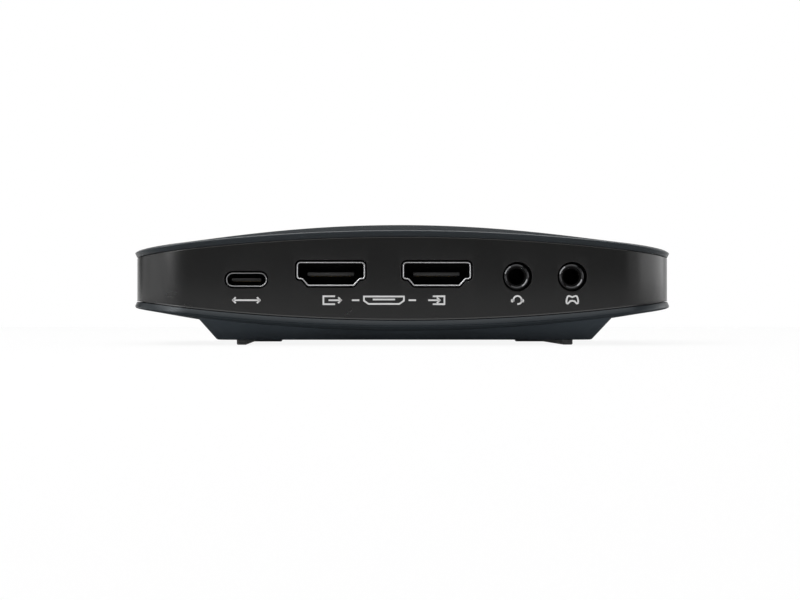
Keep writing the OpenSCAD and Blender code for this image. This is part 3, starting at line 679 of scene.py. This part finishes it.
def build_socket(name, plating, insert, x, z, outline, wall, tongue, block_d, rows, pitch, contact_w):
    """Shell, tongue and contacts of one socket, with painted shade on the shell's inner faces."""
    lo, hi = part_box(name + "_shell")
    rings = [standing(points, x, y, z) for y, points in shell_rings(outline, wall, lo.y + LIP_BACK, hi.y)]
    parts = [lofted("shell", rings, loop=True)] + leg_parts(name + "_shell", wall)
    shell = joined(name + "_shell_form", parts)
    piece(shell, plating, "socket_metal", name + "_shell", sharp=SHELL_SHARP)
    # Inner faces of the shell, above its legs, get a near-black copy of the nickel: painted shade inside
    # the socket
    shell.data.materials.append(PAINTED_SHADE_NICKEL)
    for face in shell.data.polygons:
        side = Vector((face.center.x - x, 0, face.center.z - z))
        painted_shade = face.normal.dot(side) < 0 and abs(face.normal.y) < PAINTED_SHADE_TILT
        if painted_shade and face.center.z > lo.z + LEG_DOWN:
            face.material_index = 1
    blade, block = tongue_parts(name, x, z, outline, wall, tongue, block_d)
    piece(blade, insert, "socket_plastic", name + "_tongue")
    piece(block, BLOCK, "socket_plastic", name + "_tongue")
    parts = contact_parts(name, x, z, tongue[1], rows, pitch, contact_w)
    piece(joined(name + "_contacts_form", parts), GOLD, "contact_gold", name + "_contacts")


def data_outline(inset):
    """Outline of the data socket, moved in."""
    return stadium(DATA_W - 2 * inset, DATA_H - 2 * inset)


def build_sockets():
    """The two video sockets and the data socket."""
    for name, x in VIDEO_XS.items():
        build_socket(name, NICKEL, INSERT, x, VIDEO_Z, video_outline, VIDEO_WALL, VIDEO_TONGUE, BLOCK_D,
                     VIDEO_ROWS, VIDEO_PITCH, VIDEO_CONTACT_W)
    # The data socket gets darker copies of the nickel and of the tongue plastic: painted shade in its
    # mouth
    build_socket("data", DATA_NICKEL_PAINTED_SHADE, DATA_INSERT_PAINTED_SHADE, DATA_X, DATA_Z, data_outline, DATA_WALL, DATA_TONGUE,
                 DATA_BLOCK_D, DATA_ROWS, DATA_PITCH, DATA_CONTACT_W)


def turned(name, profile, middle, steps=72):
    """Ring turned about the Y axis from a closed section of (radius, y)."""
    rings = []
    for r, y in profile:
        rings.append([(middle.x + r * math.cos(a), y, middle.z + r * math.sin(a))
                      for a in (2 * math.pi * i / steps for i in range(steps))])
    return lofted(name, rings, loop=True)


def build_jacks(metal):
    """Rings of the two jacks, with a ridge between two slopes."""
    for name, middle in JACK_MIDS.items():
        lo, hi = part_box(name + "_jack_ring")
        seat = lo.y - RING_PROUD
        ridge = seat - (RING_RIDGE_R - RING_LIP_R) * RING_SLOPE
        edge = ridge + (RING_OUT_R - RING_RIDGE_R) * RING_SLOPE
        profile = [(RING_OUT_R, hi.y), (RING_OUT_R, edge), (RING_RIDGE_R, ridge), (RING_LIP_R, seat),
                   (NOSE_R, seat), (NOSE_R, hi.y)]
        ring = turned(name + "_ring_form", profile, middle)
        piece(ring, metal, "ring_metal", name + "_jack_ring", sharp=RING_SHARP)


# Feet and screws

def build_feet(material):
    """The two rubber feet, with a round lower edge."""
    for name, side in (("right_foot", 1), ("left_foot", -1)):
        rings = []
        for i in range(ARC_STEPS + 1):
            a = math.pi / 2 * i / ARC_STEPS
            grow = -FOOT_EDGE_R * (1 - math.sin(a))
            rings.append(lying(foot_plan(side, grow), FOOT_EDGE_R * (1 - math.cos(a))))
        rings.append(lying(foot_plan(side, 0), foot_hi.z))
        piece(lofted(name + "_form", rings), material, "foot_rubber", name)


def cross_outline(reach, width):
    """Plan of a cross recess."""
    w = width / 2
    return [(reach, -w), (reach, w), (w, w), (w, reach), (-w, reach), (-w, w),
            (-reach, w), (-reach, -w), (-w, -w), (-w, -reach), (w, -reach), (w, -w)]


def build_screws(material):
    """The four case screws, with domed heads and cross recesses."""
    lo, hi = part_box("case_screws")
    head_r = hi.x - SCREW_X
    head_h = SCREW_SEAT_Z - lo.z
    parts = []
    for x, y in SCREW_SPOTS:
        rings = []
        for i in range(1, HEAD_STEPS + 1):
            a = math.pi / 2 * i / HEAD_STEPS
            r = head_r * math.sin(a)
            rings.append(lying(disc(x, y, r), lo.z + head_h * HEAD_CROWN * (1 - math.cos(a))))
        rings.append(lying(disc(x, y, head_r), SCREW_SEAT_Z))
        rings.append(lying(disc(x, y, SCREW_SHANK_R), SCREW_SEAT_Z))
        rings.append(lying(disc(x, y, SCREW_SHANK_R), hi.z))
        screw = lofted("screw", rings)
        cross = [(x + px, y + py) for px, py in cross_outline(head_r * CROSS_REACH, CROSS_W)]
        carve(screw, slot_tool(cross, lo.z - CUT_PAST, lo.z + head_h * CROSS_D))
        parts.append(screw)
    piece(joined("case_screws_form", parts), material, "screw_steel", "case_screws")


# Printed marks

INK_T = 0.02 * MM  # rise of the print over the face
STROKE = 0.35 * MM  # width of a stroke
MITER_LEAST = 0.5  # limit that keeps sharp turns of a stroke short
MARK_Z = 9.72 * MM  # height of the marks' middles
JACK_MARK_LIFT = 0.12 * MM  # rise of the jacks' marks over the others


def ribbon(bm, points, width, closed=False):
    """Flat printed stroke along points in the plane of the rear face."""
    count = len(points)
    left, right = [], []
    for i, p in enumerate(points):
        before = points[i - 1] if closed or i > 0 else p
        after = points[(i + 1) % count] if closed or i < count - 1 else p
        into = Vector((p[0] - before[0], p[1] - before[1]))
        out = Vector((after[0] - p[0], after[1] - p[1]))
        along = (into.normalized() + out.normalized()).normalized()
        side = Vector((-along.y, along.x))
        lead = out if out.length else into
        cos_half = max(abs(along.dot(lead.normalized())), MITER_LEAST)
        reach = side * (width / 2 / cos_half)
        left.append((p[0] + reach.x, p[1] + reach.y))
        right.append((p[0] - reach.x, p[1] - reach.y))
    spans = range(count if closed else count - 1)
    for i in spans:
        k = (i + 1) % count
        slab(bm, [left[i], left[k], right[k], right[i]])


def slab(bm, points):
    """Thin printed patch with the given outline on the rear face."""
    front = [bm.verts.new((x, FACE_Y - INK_T, z)) for x, z in points]
    back = [bm.verts.new((x, FACE_Y + INK_T, z)) for x, z in points]
    bm.faces.new(front)
    bm.faces.new(reversed(back))
    for i in range(len(points)):
        k = (i + 1) % len(points)
        bm.faces.new((front[i], back[i], back[k], front[k]))


def moved(points, x, z):
    """Drawing in millimetres, brought to a place on the face."""
    return [(px * MM + x, pz * MM + z) for px, pz in points]


def mark(name, x, strokes, patches=(), lift=0):
    """Printed mark of strokes and filled patches, round its middle."""
    bm = bmesh.new()
    for points, closed in strokes:
        ribbon(bm, moved(points, x, MARK_Z + lift), STROKE, closed)
    for points in patches:
        slab(bm, moved(points, x, MARK_Z + lift))
    return add_object(name, bm)


def arrow(x0, x1, barb=0.62):
    """Strokes of an arrow from x0 to x1."""
    back = x1 - math.copysign(barb, x1 - x0)
    return [([(x0, 0), (x1, 0)], False), ([(back, barb), (x1, 0), (back, -barb)], False)]


def gamepad_outline():
    """Outline of a plain game pad with two grips."""
    half = [(0, 0.56), (0.36, 0.7), (0.74, 0.82), (1.0, 0.7), (1.15, 0.3), (1.28, -0.32), (1.21, -0.74),
            (0.97, -0.84), (0.72, -0.62), (0.46, -0.3), (0, -0.24)]
    return half + [(-x, z) for x, z in reversed(half[1:-1])]


def cup(x):
    """Filled ear cup of a headset."""
    half_w, half_h, middle, steps = 0.3, 0.38, -0.22, 16
    angles = [2 * math.pi * i / steps for i in range(steps)]
    return [(x + half_w * math.cos(a), middle + half_h * math.sin(a)) for a in angles]


def socket_mark():
    """Strokes of a video plug's outline with its tongue."""
    half = [(3.3, -0.8), (4.3, -0.1), (4.3, 0.8)]
    return [(half + [(-x, z) for x, z in reversed(half)], True), ([(-2.4, 0.16), (2.4, 0.16)], False)]


def dash(x, half=0.8):
    """Short stroke round x."""
    return ([(x - half, 0), (x + half, 0)], False)


def build_marks(material):
    """Pictograms over the sockets and jacks, drawn in millimetres."""
    out_x, in_x = VIDEO_XS["video_out"], VIDEO_XS["video_in"]
    middle_x = (out_x + in_x) / 2
    headset_x, controller_x = (JACK_MIDS[n].x + JACK_PLAY for n in ("headset", "controller"))
    tray = [(0.9, 0.85), (-1.6, 0.85), (-1.6, -0.85), (0.9, -0.85)]
    band = arc(0, -0.08, 0.88, -20, 200, 20)
    boom = arc(0.1, -0.1, 0.84, -20, -100, 10)
    cups = [cup(-1.12), cup(1.12)]
    marks = [
        mark("data_mark", DATA_X, arrow(0, 2.9) + arrow(0, -2.9)),
        mark("out_mark", out_x, [(tray, False)] + arrow(-0.5, 2.2)),
        mark("in_mark", in_x, [([(-x, z) for x, z in tray], False)] + arrow(-1.9, 0.6)),
        mark("video_mark", middle_x, socket_mark() + [dash(-6.1), dash(6.1)]),
        mark("headset_mark", headset_x, [(band, False), (boom, False)], cups, JACK_MARK_LIFT),
        mark("gamepad_mark", controller_x, [(gamepad_outline(), True)], lift=JACK_MARK_LIFT),
    ]
    for m in marks:
        piece(m, material, "band_plastic")


# Materials

NOISE_LOW, NOISE_HIGH = 0.3, 0.7  # range that holds most of the noise
MOTTLE = 60  # mottling of the plastics, in cells per metre
GRAIN_D = 0.03 * MM  # depth of the grain and of the tracks
STREAK = 2500  # drawing marks of the metals, in cells per metre
STREAK_VARY = 0.15  # unevenness of the metals' sheen
STREAK_RELIEF = 0.03  # strength of the marks' relief
STREAK_D = 0.004 * MM  # depth of the marks
CLOUD = 250  # clouding of the metals, in cells per metre
TRACKS = 450  # tracks on the board, in rows per metre
TRACK_GAP = 0.012  # width of the gaps between tracks
TRACK_RELIEF = 0.2  # strength of the tracks' relief
WEAVE = 900  # weave of the board, in cells per metre
FROST = 3000  # frosting of the light pipe, in cells per metre
FROST_RELIEF = 0.15  # strength of the frosting's relief
FROST_D = 0.02 * MM  # depth of the frosting


def new_material(name):
    """Material with a node tree, its shader and a shared coordinate in metres."""
    material = bpy.data.materials.new(name)
    material.use_nodes = True
    tree = material.node_tree
    shader = tree.nodes["Principled BSDF"]
    coords = tree.nodes.new("ShaderNodeTexCoord").outputs["Object"]
    return material, tree, shader, coords


def noise(tree, coords, scale, detail=3.0, roughness=0.55, stretch=None):
    """Noise at so many cells per metre, drawn out along an axis if asked."""
    if stretch:
        mapping = tree.nodes.new("ShaderNodeMapping")
        mapping.inputs["Scale"].default_value = stretch
        tree.links.new(coords, mapping.inputs["Vector"])
        coords = mapping.outputs["Vector"]
    node = tree.nodes.new("ShaderNodeTexNoise")
    node.inputs["Scale"].default_value = scale
    node.inputs["Detail"].default_value = detail
    node.inputs["Roughness"].default_value = roughness
    tree.links.new(coords, node.inputs["Vector"])
    return node.outputs["Fac"]


def ramp(tree, value, *stops):
    """Colours over a value."""
    node = tree.nodes.new("ShaderNodeValToRGB")
    points = node.color_ramp.elements
    while len(points) < len(stops):
        points.new(0.5)
    for point, (place, colour) in zip(points, stops):
        point.position = place
        point.color = (*colour, 1)
    tree.links.new(value, node.inputs["Fac"])
    return node.outputs["Color"]


def spread_value(tree, value, low, high):
    """A noise value brought to a range."""
    node = tree.nodes.new("ShaderNodeMapRange")
    node.inputs["From Min"].default_value = NOISE_LOW
    node.inputs["From Max"].default_value = NOISE_HIGH
    node.inputs["To Min"].default_value = low
    node.inputs["To Max"].default_value = high
    tree.links.new(value, node.inputs["Value"])
    return node.outputs["Result"]


def bump(tree, shader, value, strength, distance):
    """Relief of the surface from a value."""
    node = tree.nodes.new("ShaderNodeBump")
    node.inputs["Strength"].default_value = strength
    node.inputs["Distance"].default_value = distance
    tree.links.new(value, node.inputs["Height"])
    tree.links.new(node.outputs["Normal"], shader.inputs["Normal"])


def shade(colour, factor):
    """A colour made lighter or darker."""
    return tuple(min(1.0, c * factor) for c in colour)


def uneven(tree, value, colour, vary):
    """A colour that varies with a noise value."""
    return ramp(tree, value, (NOISE_LOW, shade(colour, 1 - vary)), (NOISE_HIGH, shade(colour, 1 + vary)))


def plastic(name, colour, rough, specular, grain, relief, vary=0.12, tint=(1, 1, 1)):
    """Moulded plastic or rubber: fine grain, faint mottling, uneven sheen of a tint."""
    material, tree, shader, coords = new_material(name)
    mottle = noise(tree, coords, MOTTLE, 4)
    fine = noise(tree, coords, grain, 2, 0.6)
    tree.links.new(uneven(tree, mottle, colour, vary), shader.inputs["Base Color"])
    sheen = spread_value(tree, mottle, rough * (1 - vary / 2), rough * (1 + vary / 2))
    tree.links.new(sheen, shader.inputs["Roughness"])
    shader.inputs["Specular IOR Level"].default_value = specular
    shader.inputs["Specular Tint"].default_value = (*tint, 1)
    bump(tree, shader, fine, relief, GRAIN_D)
    return material


def metal(name, colour, rough, stretch=(1, 1, 1), vary=0.1):
    """Plated or bare metal with fine drawing marks."""
    material, tree, shader, coords = new_material(name)
    streak = noise(tree, coords, STREAK, 3, 0.6, stretch)
    cloud = noise(tree, coords, CLOUD, 3)
    tree.links.new(uneven(tree, cloud, colour, vary), shader.inputs["Base Color"])
    sheen = spread_value(tree, streak, rough * (1 - STREAK_VARY), rough * (1 + STREAK_VARY))
    tree.links.new(sheen, shader.inputs["Roughness"])
    shader.inputs["Metallic"].default_value = 1.0
    bump(tree, shader, streak, STREAK_RELIEF, STREAK_D)
    return material


def board_finish(name):
    """Solder mask over tracks, with pads and the weave of the board."""
    material, tree, shader, coords = new_material(name)
    cells = tree.nodes.new("ShaderNodeTexBrick")
    cells.inputs["Scale"].default_value = TRACKS
    cells.inputs["Mortar Size"].default_value = TRACK_GAP
    cells.inputs["Color1"].default_value = (0.003, 0.004, 0.0035, 1)
    cells.inputs["Color2"].default_value = (0.004, 0.005, 0.0045, 1)
    cells.inputs["Mortar"].default_value = (0.008, 0.010, 0.009, 1)
    tree.links.new(coords, cells.inputs["Vector"])
    tree.links.new(cells.outputs["Color"], shader.inputs["Base Color"])
    shader.inputs["Specular IOR Level"].default_value = 0.1
    weave = noise(tree, coords, WEAVE, 3)
    tree.links.new(spread_value(tree, weave, 0.3, 0.42), shader.inputs["Roughness"])
    bump(tree, shader, cells.outputs["Fac"], TRACK_RELIEF, GRAIN_D)
    return material


def acrylic(name):
    """Frosted clear light pipe."""
    material, tree, shader, coords = new_material(name)
    frost = noise(tree, coords, FROST, 3)
    tint = ramp(tree, frost, (NOISE_LOW, (0.62, 0.64, 0.66)), (NOISE_HIGH, (0.75, 0.77, 0.79)))
    tree.links.new(tint, shader.inputs["Base Color"])
    tree.links.new(spread_value(tree, frost, 0.35, 0.5), shader.inputs["Roughness"])
    shader.inputs["Transmission Weight"].default_value = 0.5
    bump(tree, shader, frost, FROST_RELIEF, FROST_D)
    return material


# Plastics: colour, roughness, sheen, grain in cells per metre and its relief.
# Metals: colour, roughness and the direction of the drawing marks.
SATIN = plastic("cover_satin", (0.0056, 0.0084, 0.0112), 0.34, 0.32, 6500, 0.06, tint=(0.92, 0.97, 1.0))
MATT = plastic("cover_matt", (0.0118, 0.0149, 0.0175), 0.8, 0.05, 4200, 0.35)
# Lighter copy of cover_matt for the lower cover's downward faces: painted light against their shade
LOWER_MATT_PAINTED_LIGHT = plastic("lower_matt_painted_light", (0.0190, 0.0240, 0.0285), 0.8, 0.05, 4200, 0.35)
# Lighter copy of the cover plastic for the base: painted light against the shade under the housing
BASE_MATT_PAINTED_LIGHT = plastic("base_matt_painted_light", (0.0500, 0.0600, 0.0700), 0.8, 0.08, 4200, 0.35)
BAND = plastic("band_plastic", (0.0082, 0.0082, 0.0083), 0.28, 0.325, 7000, 0.05, 0.05)
FOOT = plastic("foot_rubber", (0.19, 0.191, 0.191), 0.75, 0.3, 3500, 0.3)
INK = plastic("mark_ink", (0.58, 0.58, 0.58), 0.6, 0.3, 6000, 0.1, 0.04)
NICKEL = metal("socket_nickel", (0.56, 0.56, 0.57), 0.36, (1, 0.08, 1))
INSERT = plastic("socket_insert", (0.022, 0.022, 0.022), 0.45, 0.3, 4500, 0.1)
# Darker copy of socket_insert for the data tongue: painted shade
DATA_INSERT_PAINTED_SHADE = plastic("data_insert_painted_shade", (0.0085, 0.0085, 0.0085), 0.45, 0.25, 4500, 0.1)
# Darker copy of socket_nickel for the data shell: painted shade
DATA_NICKEL_PAINTED_SHADE = metal("data_nickel_painted_shade", (0.37, 0.37, 0.375), 0.36, (1, 0.08, 1))
BLOCK = plastic("socket_block", (0.003, 0.003, 0.003), 0.6, 0.1, 4500, 0.1)
# Near-black copy of the nickel for the shells' inner faces: painted shade
PAINTED_SHADE_NICKEL = metal("socket_shade", (0.035, 0.035, 0.036), 0.5, (1, 0.08, 1))
RING = metal("ring_black_nickel", (0.024, 0.024, 0.025), 0.1, (1, 0.1, 1))
STEEL = metal("screw_steel", (0.42, 0.43, 0.45), 0.32)
GOLD = metal("contact_gold", (0.36, 0.25, 0.09), 0.25, (1, 0.1, 1))

build_covers()
build_band(BAND)
build_sockets()
build_jacks(RING)
build_feet(FOOT)
build_screws(STEEL)
build_marks(INK)

# Finishes of the pieces shown as they are in the frame
FINISHES = {
    "chip_resin": plastic("chip_resin", (0.010, 0.010, 0.011), 0.55, 0.4, 3000, 0.2),
    "circuit_board": board_finish("circuit_board"),
    "screw_steel": STEEL,
    "contact_gold": GOLD,
    "jack_plastic": plastic("jack_plastic", (0.0035, 0.0035, 0.0035), 0.5, 0.05, 4000, 0.1),
    "pad_rubber": plastic("pad_rubber", (0.26, 0.30, 0.42), 0.85, 0.2, 2500, 0.3),
    "sink_aluminium": metal("sink_aluminium", (0.035, 0.035, 0.037), 0.45, (1, 0.06, 1)),
    "pin_nylon": plastic("pin_nylon", (0.68, 0.67, 0.61), 0.5, 0.4, 2500, 0.1, 0.05),
    "can_metal": metal("can_metal", (0.55, 0.55, 0.57), 0.3),
    "inductor_ferrite": plastic("inductor_ferrite", (0.028, 0.028, 0.03), 0.7, 0.3, 3000, 0.5),
    "lamp_resin": plastic("lamp_resin", (0.80, 0.79, 0.66), 0.3, 0.5, 2500, 0.05, 0.05),
    "light_acrylic": acrylic("light_acrylic"),
}
node_slots = {s["node"]: s["material_slot"] for s in frame["record"]["subparts"]}
for node, obj in frame["nodes"].items():
    finish = FINISHES.get(node_slots[node])
    if finish:
        obj.data.materials.clear()
        obj.data.materials.append(finish)

# Studio

CAMERA_AT = Vector((-14.0, -514.5, 7.8)) * MM  # place of the camera
CAMERA_YAW = 0.02715  # turn to the right, in radians
CAMERA_PITCH = 0.0041  # turn upwards, in radians
FOCAL_PX = 2230  # focal length, in widths of a pixel
IMAGE_W = 800  # width of the picture, in pixels
SENSOR = 36  # width of the sensor, in millimetres
CLIP_START = 0.01  # nearest distance that shows
STAGE_HALF = 3.0  # half of the floor's width, and its reach to the rear
BACKDROP_XS = (-0.5, 0.7)  # left and right ends of the backdrop
SWEEP_Y = 0.45  # start of the backdrop's sweep
SWEEP_R = 0.3  # radius of the sweep
SWEEP_STEPS = 12  # fineness of the sweep
SWEEP_TOP = 1.6  # top of the backdrop
WALL_X = 0.95  # side walls from the middle
WALL_H = 0.8  # height of the side walls
LEFT_WALL_YS = (-1.5, 0.6)  # ends of the left wall
RIGHT_WALL_YS = (-1.5, 0.75)  # ends of the right wall
PALE = (0.7, 0.7, 0.7)  # colour of the floor, walls and backdrop
FLOOR_WHITE = 0.9  # white of the floor to the eye
FLOOR_SHEEN = 0.3  # white of the floor in reflections
SURROUND = 0.13  # strength of the light from all round
MIDDLE = (0, 0, 0.014)  # middle of the object

# Soft boxes: place, point lit, width and height, power, roll and beam in degrees
OPEN_BEAM = 180
LAMPS = {
    "top_box": ((0, -0.5, 0.66), (0, 0, 0), (1.0, 0.35), 3.15, 0, OPEN_BEAM),
    "back_box": ((0, 0.42, 0.72), (0, 0, 0.02), (1.2, 0.2), 3.4, 0, OPEN_BEAM),
    "left_box": ((-0.5, -0.2, 0.66), MIDDLE, (0.42, 0.42), 2.4, 0, OPEN_BEAM),
    "left_fill": ((-0.73, -0.3, 0.16), MIDDLE, (0.8, 0.3), 0.56, 0, OPEN_BEAM),
    "right_box": ((0.75, 0.04, 0.16), MIDDLE, (1.1, 0.3), 2.08, 0, OPEN_BEAM),
    "key_box": ((-0.55, -0.55, 0.5), (0, -0.035, 0.014), (0.66, 0.1), 2.85, 63, OPEN_BEAM),
    "left_pool": ((-0.36, -0.18, 0.2), (-0.36, -0.18, 0), (0.3, 0.35), 1.8, 0, 40),
    "right_pool": ((0.36, -0.05, 0.2), (0.36, -0.05, 0), (0.3, 0.4), 1.1, 0, 40),
}


def white_stage(name, colour, white, sheen):
    """Pale matt surface, white to the eye and in reflections, that takes a shadow."""
    material = bpy.data.materials.new(name)
    material.use_nodes = True
    tree = material.node_tree
    tree.nodes.clear()
    out = tree.nodes.new("ShaderNodeOutputMaterial")
    matt = tree.nodes.new("ShaderNodeBsdfDiffuse")
    matt.inputs["Color"].default_value = (*colour, 1)
    glow = tree.nodes.new("ShaderNodeEmission")
    glow.inputs["Color"].default_value = (1, 1, 1, 1)
    glow.inputs["Strength"].default_value = 1.0
    path = tree.nodes.new("ShaderNodeLightPath")
    shares = []
    for ray, most in (("Is Camera Ray", white), ("Is Glossy Ray", sheen), ("Is Transmission Ray", sheen)):
        share = tree.nodes.new("ShaderNodeMapRange")
        share.inputs["To Max"].default_value = most
        tree.links.new(path.outputs[ray], share.inputs["Value"])
        shares.append(share.outputs["Result"])
    total = shares[0]
    for share in shares[1:]:
        larger = tree.nodes.new("ShaderNodeMath")
        larger.operation = "MAXIMUM"
        tree.links.new(total, larger.inputs[0])
        tree.links.new(share, larger.inputs[1])
        total = larger.outputs[0]
    mix = tree.nodes.new("ShaderNodeMixShader")
    tree.links.new(total, mix.inputs["Fac"])
    tree.links.new(matt.outputs["BSDF"], mix.inputs[1])
    tree.links.new(glow.outputs["Emission"], mix.inputs[2])
    tree.links.new(mix.outputs["Shader"], out.inputs["Surface"])
    return material


def sheet(name, rows, material):
    """Sheet of the studio through pairs of points."""
    bm = bmesh.new()
    edges = [[bm.verts.new(p) for p in row] for row in rows]
    for a, b in zip(edges, edges[1:]):
        bm.faces.new((a[0], a[1], b[1], b[0]))
    obj = add_object(name, bm)
    obj.data.shade_smooth()
    obj.data.materials.append(material)


def build_stage():
    """Floor, swept backdrop and a white wall at either side."""
    sides = (-STAGE_HALF, STAGE_HALF)
    floor_white = white_stage("floor_white", PALE, FLOOR_WHITE, FLOOR_SHEEN)
    sheet("floor", [[(x, y, 0) for x in sides] for y in (-STAGE_HALF, SWEEP_Y)], floor_white)
    path = arc(SWEEP_Y, SWEEP_R, SWEEP_R, -90, 0, SWEEP_STEPS)
    path.append((SWEEP_Y + SWEEP_R, SWEEP_TOP))
    wall_white = white_stage("backdrop_white", PALE, 1.0, 1.0)
    sheet("backdrop", [[(x, y, z) for x in BACKDROP_XS] for y, z in path], wall_white)
    for name, x, ends in (("left_wall", -WALL_X, LEFT_WALL_YS), ("right_wall", WALL_X, RIGHT_WALL_YS)):
        sheet(name, [[(x, y, z) for y in ends] for z in (0, WALL_H)], wall_white)


def area_light(name, place, aim, size, power, roll, beam):
    """Soft box at a place, turned to the point that it lights, and rolled."""
    data = bpy.data.lights.new(name, "AREA")
    data.shape = "RECTANGLE"
    data.size, data.size_y = size
    data.energy = power
    data.spread = math.radians(beam)
    light = bpy.data.objects.new(name, data)
    light.location = place
    turn = (Vector(aim) - Vector(place)).to_track_quat("-Z", "Y")
    light.rotation_euler = (turn @ Quaternion((0, 0, 1), math.radians(roll))).to_euler()
    bpy.context.scene.collection.objects.link(light)


def build_camera():
    """Camera that looks at the rear face."""
    data = bpy.data.cameras.new("camera")
    data.sensor_width = SENSOR
    data.lens = FOCAL_PX * SENSOR / IMAGE_W
    data.clip_start = CLIP_START
    camera = bpy.data.objects.new("camera", data)
    camera.location = CAMERA_AT
    camera.rotation_euler = (math.pi / 2 + CAMERA_PITCH, 0, -CAMERA_YAW)
    bpy.context.scene.collection.objects.link(camera)
    bpy.context.scene.camera = camera


def build_world():
    """White surroundings, with a weak light from all round."""
    world = bpy.data.worlds.new("studio")
    world.use_nodes = True
    background = world.node_tree.nodes["Background"]
    background.inputs["Color"].default_value = (1, 1, 1, 1)
    tree = world.node_tree
    path = tree.nodes.new("ShaderNodeLightPath")
    strength = tree.nodes.new("ShaderNodeMapRange")
    strength.inputs["To Min"].default_value = SURROUND
    tree.links.new(path.outputs["Is Camera Ray"], strength.inputs["Value"])
    tree.links.new(strength.outputs["Result"], background.inputs["Strength"])
    bpy.context.scene.world = world


build_stage()
build_camera()
build_world()
for lamp, values in LAMPS.items():
    area_light(lamp, *values)
bpy.context.scene.view_settings.view_transform = "Standard"
